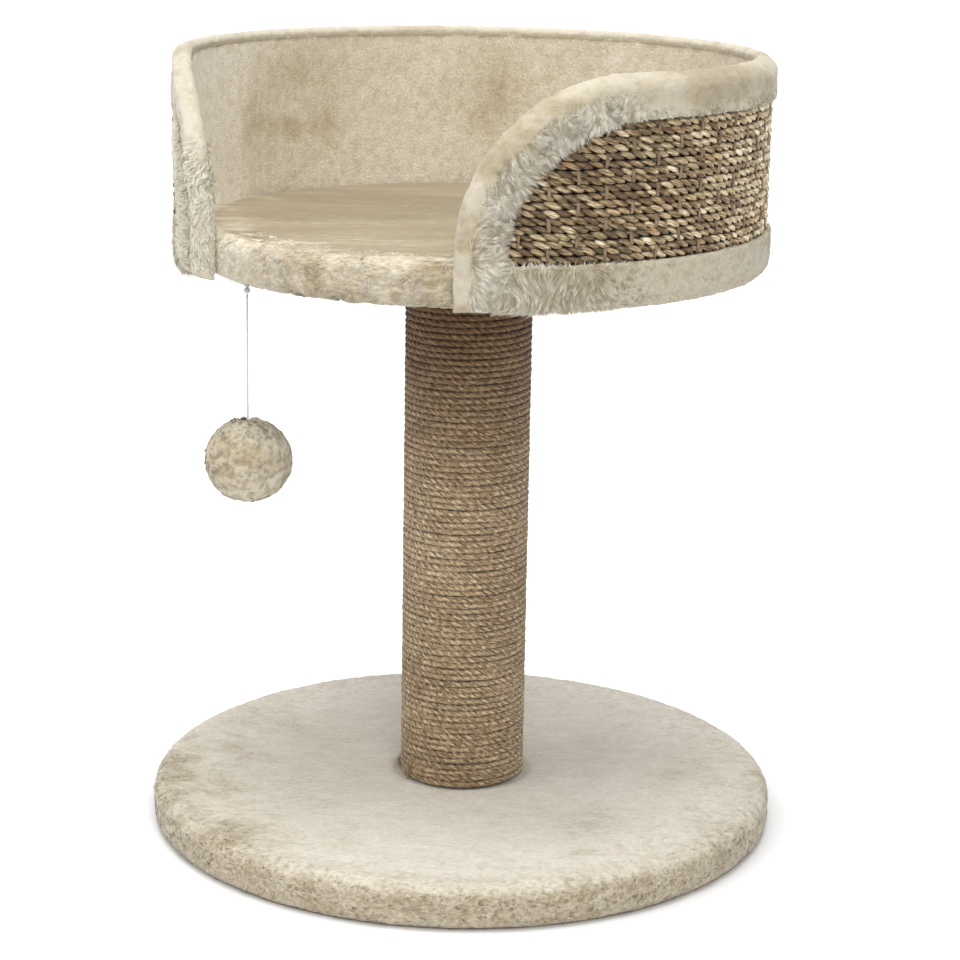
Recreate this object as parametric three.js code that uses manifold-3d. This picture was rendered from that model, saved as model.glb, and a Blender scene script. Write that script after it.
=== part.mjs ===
// A cat scratching post: a plush-covered round base, a rope-wound post, and a round
// plush bed with a bent wall, faced with woven seagrass. A plush ball hangs below the bed.
// Millimetres, +Z up. The origin is the centre of the base, on the floor.
// The bed is open towards -Y. Angles round the post are in degrees, 0 at -Y and 90 at +X.
import * as THREE from 'three';
import { mergeVertices } from 'three/addons/utils/BufferGeometryUtils.js';
import Module from 'manifold-3d';

const wasm = await Module();
wasm.setup();

// ---------- Sizes ----------
const GAP = 0.3; // left between two pieces that touch
const CUT_PAST = 1; // how far a cutting shape runs past a face
const WALL_MARGIN = 10; // how far the shapes that cut the wall's trim run past it

// Base
const BASE_RADIUS = 200; // over the plush
const BASE_SIDE_PILE = 4.2; // plush round the board's edge
const BASE_TOP_PILE = 3.9;
const BASE_PRESSED_PILE = 1.6; // plush under the post's foot
const BASE_TURN_UNDER = 28; // width of cloth turned under the board
const BASE_TOP_ROUND = 10;
const BASE_BOTTOM_ROUND = 8;
const UNDERLAY_THICKNESS = 1.5;
const BOARD_THICKNESS = 22;
const BOARD_EASE = 3; // chamfer round the boards' edges

// Post
const TUBE_LENGTH = 335.7;
const TUBE_RADIUS = 36;
const TUBE_WALL = 4.5;
const PLUG_LENGTH = 18;
const ROPE_DIAMETER = 3.88;
const ROPES_ABREAST = 4; // ropes laid side by side in one loop of the winding
const LOOP_GAP = 0.44; // between one loop and the next
const ROPE_GROOVE = 1.7; // depth between two ropes
const ROPE_MARGIN = 0.3; // from the rope's first and last turn to the post's ends
const WINDING_START = -50; // degrees, where the rope's lower end is fixed

// Bed floor
const TRAY_RADIUS = 170.5; // over the plush
const TRAY_SIDE_PILE = 3.7;
const TRAY_TOP_PILE = 3.3;
const TRAY_TURN_UNDER = 24.5;
const TRAY_ROUND = 9;
const TRAY_CLOTH = 1.2; // thickness of the cloth under the tray

// Bed wall
const WALL_HEIGHT = 132; // from the tray's underside to the rim
const LINING_PILE = 3.5;
const PANEL_THICKNESS = 3;
const MAT_THICKNESS = 4.1;
const TRIM_PILE = 2.6;
const OPENING_HALF_ANGLE = 29; // degrees from -Y to each end of the wall
const CORNER_RADIUS = 100; // of the wall's swept-down corners, on the flat panel
const RIM_CAP = 5; // plush over the panel's edge
const RIM_ROUND = 10;
const RIM_CREST = 2.5; // from the wall's inner face to the rim's highest line
const RIM_BAND = 25; // width of the rim's plush over the mat
const HEM_BAND = 27.7; // height of the plush below the mat
const HEM_ROUND = 10;
const TRIM_EASE = 1; // chamfer along the trim's edges

// Fasteners
const BOLT_RADIUS = 3.9;
const BOLT_HEAD_FLATS = 13;
const BOLT_HEAD_HEIGHT = 5.3;
const BOLT_PAST_NUT = 2;
const WASHER_RADIUS = 11;
const WASHER_THICKNESS = 1.6;
const TEE_FLANGE_RADIUS = 10.5;
const TEE_FLANGE_THICKNESS = 1.4;
const TEE_BARREL_WALL = 1;
const TEE_BARREL_LENGTH = 9;
const NAIL_RADIUS = 0.9;
const NAIL_LENGTH = 16;
const NAILS_PER_PLUG = 3;
const SCREW_COUNT = 7;
const SCREW_LENGTH = 30;
const SCREW_RADIUS = 1.9;
const SCREW_HEAD_RADIUS = 4;
const SCREW_HEAD_LENGTH = 2.2;
const STAPLE_WIRE = 1.2;
const TOY_STAPLE_CROWN = 10;
const TOY_STAPLE_LEG = 12;
const ROPE_STAPLE_CROWN = 7;
const ROPE_STAPLE_LEG = 7.5;
const ROPE_STAPLE_ANGLE = 25; // degrees past the rope's end
const ROPE_STAPLE_TURNS = 1.25; // ropes between the staple's middle and the winding's end

// Toy
const TOY_INSET = 16.65; // of the staple from the tray's edge
const TOY_ANGLE = -27.065;
const STRING_RADIUS = 0.65;
const STRING_DROP = 87; // from the tray's underside to the ball
const KNOT_RADIUS = 2;
const BALL_WIDTH = 54;
const BALL_HEIGHT = 51;
const BALL_PLUSH = 3;
const BALL_DIMPLE = 2.4; // how far the gathered top is drawn in
const BALL_DIMPLE_RADIUS = 6;

// Facets
const DISC_STEPS = 42;
const SMALL_STEPS = 14;
const WINDING_STEPS = 16;
const CORNER_STEPS = 8;
const ARC_STEPS = 3;
const TUBE_STEPS = 32;
const BALL_STEPS = 20;
const WALL_STEP = 8; // degrees
const LEAST_BEND = 1; // degrees between two bends of the hem
const ROD_SIDES = 8;
const STRING_STEPS = 24;
const LOOP_SIDES = 6;
const LOOP_STEPS = 12;
const KNOT_STEPS = 10;
const KNOT_RINGS = 8;
const BALL_RINGS = 12;
const CORE_RINGS = 8;

// ---------- Levels and radii that follow ----------
const radians = THREE.MathUtils.degToRad;

const baseBoardBottom = UNDERLAY_THICKNESS + GAP;
const baseBoardTop = baseBoardBottom + BOARD_THICKNESS;
const baseTop = baseBoardTop + GAP + BASE_TOP_PILE;
const footSeat = baseBoardTop + GAP + BASE_PRESSED_PILE;
const tubeBottom = footSeat + GAP;
const tubeTop = tubeBottom + TUBE_LENGTH;
const trayBottom = tubeTop + GAP;
const trayBoardBottom = trayBottom + TRAY_CLOTH + GAP;
const trayBoardTop = trayBoardBottom + BOARD_THICKNESS;
const trayTop = trayBoardTop + GAP + TRAY_TOP_PILE;
const rimTop = trayBottom + WALL_HEIGHT;
const cornerLevel = rimTop - CORNER_RADIUS;
const hemTop = trayBottom + HEM_BAND;

const baseBoardRadius = BASE_RADIUS - BASE_SIDE_PILE - GAP;
const trayBoardRadius = TRAY_RADIUS - TRAY_SIDE_PILE - GAP;
const tubeBore = TUBE_RADIUS - TUBE_WALL;
const plugRadius = tubeBore - GAP;
const ropeBore = (TUBE_RADIUS + GAP) / Math.cos(Math.PI / WINDING_STEPS); // clear of its facets
const ropeOuter = TUBE_RADIUS + GAP + ROPE_DIAMETER;
const boltHole = BOLT_RADIUS + GAP;
const teeBarrelRadius = boltHole + TEE_BARREL_WALL;

const liningInner = (TRAY_RADIUS + GAP) / Math.cos(radians(WALL_STEP / 2));
const liningOuter = liningInner + LINING_PILE;
const panelInner = liningOuter + GAP;
const panelOuter = panelInner + PANEL_THICKNESS;
const matInner = panelOuter + GAP;
const matOuter = matInner + MAT_THICKNESS;
const bandInner = matOuter + GAP;
const wallOuter = bandInner + TRIM_PILE;
const flatRadius = panelInner + PANEL_THICKNESS / 2; // the flat panel keeps its length here

// ---------- Helpers ----------
// A point at a radius and an angle round the post.
function around(radius, angle, z) {
  const a = radians(angle);
  return new THREE.Vector3(radius * Math.sin(a), -radius * Math.cos(a), z);
}

// Signed volume of an indexed geometry, positive when its faces point out.
function signedVolume(geometry) {
  const p = geometry.getAttribute('position');
  const index = geometry.getIndex();
  const [a, b, c] = [new THREE.Vector3(), new THREE.Vector3(), new THREE.Vector3()];
  let volume = 0;
  for (let i = 0; i < index.count; i += 3) {
    a.fromBufferAttribute(p, index.getX(i));
    b.fromBufferAttribute(p, index.getX(i + 1));
    c.fromBufferAttribute(p, index.getX(i + 2));
    volume += a.dot(b.cross(c)) / 6;
  }
  return volume;
}

// The geometry with shared corners merged and its faces pointing out.
function closed(geometry) {
  const bare = geometry.clone();
  bare.deleteAttribute('normal');
  bare.deleteAttribute('uv');
  const merged = mergeVertices(bare, 1e-4);
  const corners = Array.from(merged.getIndex().array);
  const kept = [];
  for (let i = 0; i < corners.length; i += 3) {
    const [a, b, c] = corners.slice(i, i + 3);
    if (a !== b && b !== c && c !== a) kept.push(a, b, c);
  }
  merged.setIndex(kept);
  if (signedVolume(merged) < 0) merged.setIndex(kept.reverse());
  return merged;
}

function toManifold(geometry) {
  const merged = closed(geometry);
  return new wasm.Manifold(
    new wasm.Mesh({
      numProp: 3,
      vertProperties: new Float32Array(merged.getAttribute('position').array),
      triVerts: new Uint32Array(merged.getIndex().array),
    }),
  );
}

function fromManifold(body) {
  const mesh = body.getMesh();
  const geometry = new THREE.BufferGeometry();
  geometry.setAttribute('position', new THREE.BufferAttribute(mesh.vertProperties, 3));
  geometry.setIndex(new THREE.BufferAttribute(mesh.triVerts, 1));
  return geometry;
}

// The body with every tool in the list cut away.
function cut(geometry, tools) {
  let body = toManifold(geometry);
  for (const tool of tools) body = body.subtract(toManifold(tool));
  return fromManifold(body);
}

function join(first, second) {
  return fromManifold(toManifold(first).add(toManifold(second)));
}

function common(first, second) {
  return fromManifold(toManifold(first).intersect(toManifold(second)));
}

// Points [across, up] on a quarter of an ellipse, from one angle to another.
function arc(centreX, centreY, radiusX, radiusY, from, to, steps = ARC_STEPS) {
  return Array.from({ length: steps + 1 }, (_, i) => {
    const a = radians(from + ((to - from) * i) / steps);
    return [centreX + radiusX * Math.cos(a), centreY + radiusY * Math.sin(a)];
  });
}

// A profile of [radius, height] points turned round the Z axis.
function turned(profile, steps = DISC_STEPS) {
  const points = profile.map(([r, z]) => new THREE.Vector2(r, z));
  return closed(new THREE.LatheGeometry(points, steps).rotateX(Math.PI / 2));
}

// A solid drum, with an optional chamfer at both edges.
function drum(radius, bottom, top, steps = SMALL_STEPS, ease = 0) {
  const edge = ease
    ? [[radius - ease, bottom], [radius, bottom + ease], [radius, top - ease], [radius - ease, top]]
    : [[radius, bottom], [radius, top]];
  return turned([[0, bottom], ...edge, [0, top]], steps);
}

// A flat ring of a rectangular section.
function ring(inner, outer, bottom, top, steps = SMALL_STEPS) {
  return turned([[inner, bottom], [outer, bottom], [outer, top], [inner, top], [inner, bottom]], steps);
}

// A closed body through a row of like sections, each a ring of points in the same order.
function lofted(sections) {
  const count = sections[0].length;
  const position = sections.flat().flatMap((p) => [p.x, p.y, p.z]);
  const index = [];
  for (let i = 0; i + 1 < sections.length; i += 1) {
    for (let j = 0; j < count; j += 1) {
      const [a, b] = [i * count + j, i * count + ((j + 1) % count)];
      index.push(a, b, b + count, a, b + count, a + count);
    }
  }
  const last = (sections.length - 1) * count;
  for (const [a, b, c] of capTriangles(sections[0])) index.push(a, c, b);
  for (const [a, b, c] of capTriangles(sections.at(-1))) index.push(last + a, last + b, last + c);
  const geometry = new THREE.BufferGeometry();
  geometry.setAttribute('position', new THREE.Float32BufferAttribute(position, 3));
  geometry.setIndex(index);
  if (signedVolume(geometry) < 0) geometry.setIndex(index.reverse());
  return geometry;
}

// Triangles that fill one section, found in the section's own plane.
function capTriangles(section) {
  const origin = section[0];
  const normal = new THREE.Vector3();
  section.forEach((p, i) => {
    const next = section[(i + 1) % section.length];
    normal.add(p.clone().sub(origin).cross(next.clone().sub(origin)));
  });
  normal.normalize();
  const across = section[1].clone().sub(origin).normalize();
  const up = normal.clone().cross(across);
  const flat = section.map((p) => {
    const offset = p.clone().sub(origin);
    return new THREE.Vector2(offset.dot(across), offset.dot(up));
  });
  return THREE.ShapeUtils.triangulateShape(flat, []);
}

// A round rod from one point to another.
function rod(from, to, radius, steps = 1) {
  const section = new THREE.Shape(
    Array.from({ length: ROD_SIDES }, (_, i) => {
      const a = (2 * Math.PI * i) / ROD_SIDES;
      return new THREE.Vector2(radius * Math.cos(a), radius * Math.sin(a));
    }),
  );
  return new THREE.ExtrudeGeometry(section, { steps, extrudePath: new THREE.LineCurve3(from, to) });
}

// A flat-wire staple: legs along +Z, crown along X with its wire centred on the origin.
// Its outline grows by a margin to make the slot that it is driven into.
function staple(crown, leg, margin = 0) {
  const half = STAPLE_WIRE / 2;
  const outer = crown / 2 + half + margin;
  const inner = crown / 2 - half - margin;
  const shape = new THREE.Shape();
  shape.moveTo(-outer, -half - margin);
  shape.lineTo(outer, -half - margin);
  shape.lineTo(outer, leg + margin);
  shape.lineTo(inner, leg + margin);
  shape.lineTo(inner, half + margin);
  shape.lineTo(-inner, half + margin);
  shape.lineTo(-inner, leg + margin);
  shape.lineTo(-outer, leg + margin);
  const depth = STAPLE_WIRE + 2 * margin;
  const body = new THREE.ExtrudeGeometry(shape, { depth, bevelEnabled: false });
  return body.translate(0, 0, -depth / 2).rotateX(Math.PI / 2);
}

// ---------- Finishes ----------
const plush = new THREE.MeshStandardMaterial({ color: 0xcdc1a8, roughness: 0.95 });
const furTrim = new THREE.MeshStandardMaterial({ color: 0xc9c2b2, roughness: 0.95 });
const sisal = new THREE.MeshStandardMaterial({ color: 0x9c8462, roughness: 0.9 });
const seagrass = new THREE.MeshStandardMaterial({ color: 0xa68c66, roughness: 0.8 });
const chipboard = new THREE.MeshStandardMaterial({ color: 0xb89468, roughness: 0.8 });
const hardboard = new THREE.MeshStandardMaterial({ color: 0x7a5636, roughness: 0.7 });
const cardboard = new THREE.MeshStandardMaterial({ color: 0xa98c66, roughness: 0.9 });
const felt = new THREE.MeshStandardMaterial({ color: 0x8d8676, roughness: 1 });
const wadding = new THREE.MeshStandardMaterial({ color: 0xe9e6de, roughness: 1 });
const zincSteel = new THREE.MeshStandardMaterial({ color: 0xa9adb0, roughness: 0.35, metalness: 1 });
const cord = new THREE.MeshStandardMaterial({ color: 0xdedcd6, roughness: 0.7 });

const post = new THREE.Group();

function add(name, geometry, material) {
  const mesh = new THREE.Mesh(geometry, material);
  mesh.name = name;
  post.add(mesh);
  return mesh;
}

// ---------- Base ----------
// The bolt's head and washer sit in a counterbore, above the floor.
const counterbore = WASHER_RADIUS + GAP;
const washerSeat = baseBoardBottom + BOLT_HEAD_HEIGHT + GAP + WASHER_THICKNESS + GAP;

add(
  'base_board',
  cut(drum(baseBoardRadius, baseBoardBottom, baseBoardTop, DISC_STEPS, BOARD_EASE), [
    drum(boltHole, baseBoardBottom - CUT_PAST, baseBoardTop + CUT_PAST),
    drum(counterbore, baseBoardBottom - CUT_PAST, washerSeat),
  ]),
  chipboard,
);

// Cloth lies over the board, round its edge and a little way under it.
const baseInside = baseBoardRadius + GAP;
const underlayRadius = BASE_RADIUS - BASE_TURN_UNDER;
const footRadius = ropeOuter + GAP;
const baseSectionTop = BASE_RADIUS - BASE_TOP_ROUND;
const baseSectionBottom = BASE_RADIUS - BASE_BOTTOM_ROUND;
add(
  'base_cover',
  turned([
    [underlayRadius + GAP, 0],
    ...arc(baseSectionBottom, BASE_BOTTOM_ROUND, BASE_BOTTOM_ROUND, BASE_BOTTOM_ROUND, -90, 0),
    ...arc(baseSectionTop, baseTop - BASE_TOP_ROUND, BASE_TOP_ROUND, BASE_TOP_ROUND, 0, 90),
    [footRadius + BASE_TOP_PILE, baseTop],
    [footRadius, footSeat],
    [boltHole, footSeat],
    [boltHole, baseBoardTop + GAP],
    [baseInside - BOARD_EASE, baseBoardTop + GAP],
    [baseInside, baseBoardTop + GAP - BOARD_EASE],
    [baseInside, UNDERLAY_THICKNESS + BOARD_EASE],
    [baseInside - BOARD_EASE, UNDERLAY_THICKNESS],
    [underlayRadius + GAP, UNDERLAY_THICKNESS],
    [underlayRadius + GAP, 0],
  ]),
  plush,
);
add('base_underlay', ring(counterbore, underlayRadius, 0, UNDERLAY_THICKNESS, DISC_STEPS), felt);

// ---------- Post ----------
// A tee nut with its flange at the level given and its barrel up (1) or down (-1) from there.
function teeNut(level, side) {
  const back = level - side * TEE_FLANGE_THICKNESS;
  const end = level + side * TEE_BARREL_LENGTH;
  return turned(
    [[boltHole, back], [TEE_FLANGE_RADIUS, back], [TEE_FLANGE_RADIUS, level],
      [teeBarrelRadius, level], [teeBarrelRadius, end], [boltHole, end], [boltHole, back]],
    SMALL_STEPS,
  );
}

// The room that a tee nut's barrel needs in the wood.
function teeRoom(level, side) {
  const end = level + side * (TEE_BARREL_LENGTH + GAP);
  const start = level - side * CUT_PAST;
  return drum(teeBarrelRadius + GAP, Math.min(start, end), Math.max(start, end));
}

// Nails through the tube into a plug, evenly spaced round it. With a margin, their holes.
function nails(level, margin = 0) {
  return Array.from({ length: NAILS_PER_PLUG }, (_, i) => {
    const angle = (360 * i) / NAILS_PER_PLUG;
    const head = TUBE_RADIUS - GAP / 2 + (margin ? CUT_PAST : 0);
    const tip = TUBE_RADIUS - GAP / 2 - NAIL_LENGTH - margin;
    return rod(around(head, angle, level), around(tip, angle, level), NAIL_RADIUS + margin);
  });
}

const lowerPlugTop = tubeBottom + PLUG_LENGTH;
const upperPlugBottom = tubeTop - PLUG_LENGTH;
const lowerTeeLevel = lowerPlugTop + GAP;
const upperTeeLevel = upperPlugBottom - GAP;
const lowerNailLevel = tubeBottom + PLUG_LENGTH / 2;
const upperNailLevel = tubeTop - PLUG_LENGTH / 2;
const lowerNailHoles = nails(lowerNailLevel, GAP);
const upperNailHoles = nails(upperNailLevel, GAP);

// The rope is one unbroken band, a few ropes wide, wound in loops up the tube.
const ropeBottom = tubeBottom + ROPE_MARGIN;
const ropeTop = tubeTop - ROPE_MARGIN;
const bandHeight = ROPES_ABREAST * ROPE_DIAMETER;
const loopRise = bandHeight + LOOP_GAP;
const ropeLoops = (ropeTop - ropeBottom + bandHeight - 2 * ROPE_DIAMETER) / loopRise;
const firstCentre = ropeBottom + ROPE_DIAMETER - bandHeight / 2;

// The band's section: plain inside, one ridge a rope outside.
function ropeSection(centre, angle) {
  const low = centre - bandHeight / 2;
  const points = [around(ropeBore, angle, low)];
  for (let i = 0; i < ROPES_ABREAST; i += 1) {
    if (i > 0) points.push(around(ropeOuter - ROPE_GROOVE, angle, low + i * ROPE_DIAMETER));
    points.push(around(ropeOuter, angle, low + (i + 0.5) * ROPE_DIAMETER));
  }
  points.push(around(ropeBore, angle, low + bandHeight));
  return points;
}

const windingSteps = Math.ceil(ropeLoops * WINDING_STEPS);
const ropeSections = Array.from({ length: windingSteps + 1 }, (_, i) => {
  const turns = (ropeLoops * i) / windingSteps;
  return ropeSection(firstCentre + loopRise * turns, WINDING_START + 360 * turns);
});

// The least gap from the band to itself, over points along its facing edges.
function windingGap() {
  const topEdge = ropeSections.map((s) => s.at(-1));
  const bottomEdge = ropeSections.map((s) => s[0]);
  let least = Infinity;
  for (let i = 0; i < topEdge.length; i += 1) {
    const first = i + Math.floor(WINDING_STEPS / 2);
    const last = Math.min(bottomEdge.length - 1, i + Math.ceil(WINDING_STEPS * 1.5));
    for (let j = first; j < last; j += 1) {
      const edge = new THREE.Line3(bottomEdge[j], bottomEdge[j + 1]);
      const nearest = edge.closestPointToPoint(topEdge[i], true, new THREE.Vector3());
      least = Math.min(least, nearest.distanceTo(topEdge[i]));
    }
  }
  return least;
}
console.log(`rope winding: ${ropeLoops.toFixed(2)} loops, least gap ${windingGap().toFixed(3)} mm`);

// A staple over the rope near one end, its crown upright on the rope and its legs inwards.
function ropeStaple(level, angle, margin = 0) {
  const body = staple(ROPE_STAPLE_CROWN, ROPE_STAPLE_LEG, margin);
  body.rotateY(Math.PI / 2); // crown upright, legs along +X
  const seat = around(ropeOuter + GAP + STAPLE_WIRE / 2, angle, level);
  body.rotateZ(radians(angle) + Math.PI / 2);
  return body.translate(seat.x, seat.y, seat.z);
}

const stapleInset = ROPE_STAPLE_TURNS * ROPE_DIAMETER;
const lowerStaplePlace = [ropeBottom + stapleInset, WINDING_START + ROPE_STAPLE_ANGLE];
const upperStaplePlace = [
  ropeTop - stapleInset,
  WINDING_START + 360 * ropeLoops - ROPE_STAPLE_ANGLE,
];
const stapleSlots = [ropeStaple(...lowerStaplePlace, GAP), ropeStaple(...upperStaplePlace, GAP)];

add(
  'post_tube',
  cut(ring(tubeBore, TUBE_RADIUS, tubeBottom, tubeTop, TUBE_STEPS), [
    ...lowerNailHoles, ...upperNailHoles, ...stapleSlots,
  ]),
  cardboard,
);
add(
  'lower_plug',
  cut(drum(plugRadius, tubeBottom, lowerPlugTop, TUBE_STEPS), [
    drum(boltHole, tubeBottom - CUT_PAST, lowerPlugTop + CUT_PAST),
    teeRoom(lowerTeeLevel, -1),
    ...lowerNailHoles,
  ]),
  chipboard,
);
add(
  'upper_plug',
  cut(drum(plugRadius, upperPlugBottom, tubeTop, TUBE_STEPS), [
    drum(boltHole, upperPlugBottom - CUT_PAST, tubeTop + CUT_PAST),
    teeRoom(upperTeeLevel, 1),
    ...upperNailHoles,
  ]),
  chipboard,
);
nails(lowerNailLevel).forEach((nail, i) => add(`lower_plug_nail_${i + 1}`, nail, zincSteel));
nails(upperNailLevel).forEach((nail, i) => add(`upper_plug_nail_${i + 1}`, nail, zincSteel));
add('lower_tee_nut', teeNut(lowerTeeLevel, -1), zincSteel);
add('upper_tee_nut', teeNut(upperTeeLevel, 1), zincSteel);

const ropeRoom = drum(ropeOuter + ROPE_DIAMETER, ropeBottom, ropeTop);
add('rope_winding', cut(common(lofted(ropeSections), ropeRoom), stapleSlots), sisal);
add('rope_staple_lower', ropeStaple(...lowerStaplePlace), zincSteel);
add('rope_staple_upper', ropeStaple(...upperStaplePlace), zincSteel);

// The bolt comes up through the base into the lower plug's tee nut.
const headBottom = washerSeat - GAP - WASHER_THICKNESS - GAP - BOLT_HEAD_HEIGHT;
const headTop = headBottom + BOLT_HEAD_HEIGHT;
const boltHead = drum(BOLT_HEAD_FLATS / Math.sqrt(3), headBottom, headTop, 6);
const boltEnd = lowerTeeLevel + TEE_FLANGE_THICKNESS + BOLT_PAST_NUT;
const boltShank = drum(BOLT_RADIUS, headTop - CUT_PAST, boltEnd);
add('base_bolt', join(boltHead, boltShank), zincSteel);
add('base_washer', ring(boltHole, WASHER_RADIUS, headTop + GAP, washerSeat - GAP), zincSteel);

// ---------- Bed floor ----------
// The stud joins the upper plug to a tee nut that was driven into the board from above.
const trayTeeLevel = trayBoardTop - TEE_FLANGE_THICKNESS - GAP;
add(
  'top_stud',
  drum(BOLT_RADIUS, upperTeeLevel - TEE_FLANGE_THICKNESS - BOLT_PAST_NUT, trayTeeLevel),
  zincSteel,
);
add('tray_tee_nut', teeNut(trayTeeLevel, -1), zincSteel);

// A wood screw with a countersunk head, driven from the panel's outside into the board.
// With a margin, its hole, which runs on to the outside.
const screwLevel = (trayBoardBottom + trayBoardTop) / 2;
const screwHeadEnd = (panelOuter - GAP) * Math.cos(radians(WALL_STEP / 2)) - GAP;
function screw(angle, margin = 0) {
  const neck = SCREW_RADIUS + margin;
  const head = SCREW_HEAD_RADIUS + margin;
  const outside = margin ? wallOuter - screwHeadEnd : 0;
  const profile = [
    [0, -SCREW_LENGTH - margin],
    [neck, -SCREW_LENGTH + 2 * SCREW_RADIUS - margin],
    [neck, -SCREW_HEAD_LENGTH],
    [head, 0],
    ...(margin ? [[head, outside]] : []),
    [0, outside],
  ];
  const body = turned(profile, ROD_SIDES).rotateX(Math.PI / 2); // its head now faces -Y
  const seat = around(screwHeadEnd, angle, screwLevel);
  return body.rotateZ(radians(angle)).translate(seat.x, seat.y, seat.z);
}

const screwAngles = Array.from(
  { length: SCREW_COUNT },
  (_, i) => (360 * (i + 1)) / (SCREW_COUNT + 1),
);
const screwHoles = screwAngles.map((angle) => screw(angle, GAP));

// The toy's staple is driven up into the board, inside the tray's edge, and left a little proud.
const loopInner = STAPLE_WIRE / Math.SQRT2 + GAP;
const loopOuter = loopInner + 2 * STRING_RADIUS;
const crownLevel = trayBottom - GAP - loopOuter;
const toyPlace = around(TRAY_RADIUS - TOY_INSET, TOY_ANGLE, crownLevel);
function toyStaple(margin = 0) {
  return staple(TOY_STAPLE_CROWN, TOY_STAPLE_LEG, margin).translate(...toyPlace);
}

add(
  'tray_board',
  cut(drum(trayBoardRadius, trayBoardBottom, trayBoardTop, DISC_STEPS, BOARD_EASE), [
    drum(boltHole, trayBoardBottom - CUT_PAST, trayBoardTop + CUT_PAST),
    teeRoom(trayTeeLevel, -1),
    drum(TEE_FLANGE_RADIUS + GAP, trayTeeLevel - GAP, trayBoardTop + CUT_PAST),
    toyStaple(GAP),
    ...screwHoles,
  ]),
  chipboard,
);

const trayInside = trayBoardRadius + GAP;
const trayArc = TRAY_RADIUS - TRAY_ROUND;
const trayLiningRadius = TRAY_RADIUS - TRAY_TURN_UNDER;
const trayClothTop = trayBottom + TRAY_CLOTH;
add(
  'tray_cover',
  cut(
    turned([
      [0, trayBoardTop + GAP],
      [trayInside - BOARD_EASE, trayBoardTop + GAP],
      [trayInside, trayBoardTop + GAP - BOARD_EASE],
      [trayInside, trayClothTop + BOARD_EASE],
      [trayInside - BOARD_EASE, trayClothTop],
      [trayLiningRadius + GAP, trayClothTop],
      [trayLiningRadius + GAP, trayBottom],
      ...arc(trayArc, trayBottom + TRAY_ROUND, TRAY_ROUND, TRAY_ROUND, -90, 0),
      ...arc(trayArc, trayTop - TRAY_ROUND, TRAY_ROUND, TRAY_ROUND, 0, 90),
      [0, trayTop],
    ]),
    [toyStaple(GAP), ...screwHoles],
  ),
  plush,
);
add(
  'tray_lining',
  ring(boltHole, trayLiningRadius, trayBottom, trayClothTop, DISC_STEPS),
  felt,
);

// ---------- Bed wall ----------
// The panel is cut flat, with its two top corners rounded, and then bent round the tray.
// s is the way along the flat sheet from -Y; the sheet's middle is at the back.
const sEnd = radians(OPENING_HALF_ANGLE) * flatRadius;
const sMiddle = Math.PI * flatRadius;
const toAngle = (s) => THREE.MathUtils.radToDeg(s / flatRadius);

// The wall's edge on the flat sheet: up one end, round the corner and along to the middle.
// Each point has the direction from the edge into the sheet.
const halfEdge = [{ s: sEnd, z: trayBottom, into: [1, 0] }];
for (let i = 0; i <= CORNER_STEPS; i += 1) {
  const a = (Math.PI / 2) * (i / CORNER_STEPS);
  halfEdge.push({
    s: sEnd + CORNER_RADIUS * (1 - Math.cos(a)),
    z: cornerLevel + CORNER_RADIUS * Math.sin(a),
    into: [Math.cos(a), -Math.sin(a)],
  });
}
const runStart = sEnd + CORNER_RADIUS;
const runSteps = Math.ceil(toAngle(sMiddle - runStart) / WALL_STEP);
for (let i = 1; i <= runSteps; i += 1) {
  const s = runStart + ((sMiddle - runStart) * i) / runSteps;
  halfEdge.push({ s, z: rimTop, into: [0, -1] });
}
const otherHalf = halfEdge.slice(0, -1).reverse().map(({ s, z, into }) => ({
  s: 2 * sMiddle - s,
  z,
  into: [-into[0], into[1]],
}));
const wallEdge = [...halfEdge, ...otherHalf];

// A layer of the wall: its section's lower points are given, its upper edge follows the rim
// at a distance inside it.
function wallLayer(inner, outer, inset, lowerPoints) {
  const sections = wallEdge.slice(1, -1).map(({ s, z, into }) => {
    const angle = toAngle(s + inset * into[0]);
    const top = z + inset * into[1];
    return [
      ...lowerPoints.map(([r, level]) => around(r, angle, level)),
      around(outer, angle, top),
      around(inner, angle, top),
    ];
  });
  return lofted(sections);
}

// The hem's rounded outside at a radius near the wall's outside.
function hemLevel(radius) {
  const across = radius - (wallOuter - HEM_ROUND);
  return trayBottom + HEM_ROUND - Math.sqrt(HEM_ROUND ** 2 - across ** 2);
}
const hemFloor = trayBottom + TRIM_PILE;
const hemShoulder = hemLevel(bandInner) + TRIM_PILE;
const layerInset = RIM_CAP + GAP;
const layerBottom = hemFloor + GAP;
const matBottom = hemShoulder + GAP;

function plainLayer(inner, outer, bottom) {
  return wallLayer(inner, outer, layerInset, [[inner, bottom], [outer, bottom]]);
}

add('wall_lining', cut(plainLayer(liningInner, liningOuter, layerBottom), screwHoles), plush);
add('wall_panel', cut(plainLayer(panelInner, panelOuter, layerBottom), screwHoles), hardboard);
add('woven_mat', plainLayer(matInner, matOuter, matBottom), seagrass);
screwAngles.forEach((angle, i) => add(`wall_screw_${i + 1}`, screw(angle), zincSteel));

// The rim's trim: a padded strip over the wall's edge, its round face outwards, with a band
// that lies on the mat. It runs up one end, along the top and down the other end.
const rimCrest = liningInner + RIM_CREST;
const rimProfile = [
  [RIM_BAND, liningInner],
  [TRIM_EASE, liningInner],
  ...arc(RIM_ROUND, rimCrest, RIM_ROUND, wallOuter - rimCrest, 180, 90, ARC_STEPS + 1),
  [RIM_BAND - TRIM_EASE, wallOuter],
  [RIM_BAND, wallOuter - TRIM_EASE],
];
const rimSolid = lofted(
  wallEdge.map(({ s, z, into }) => rimProfile.map(([depth, radius]) => around(
    radius,
    toAngle(s + depth * into[0]),
    z + depth * into[1],
  ))),
);
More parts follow.
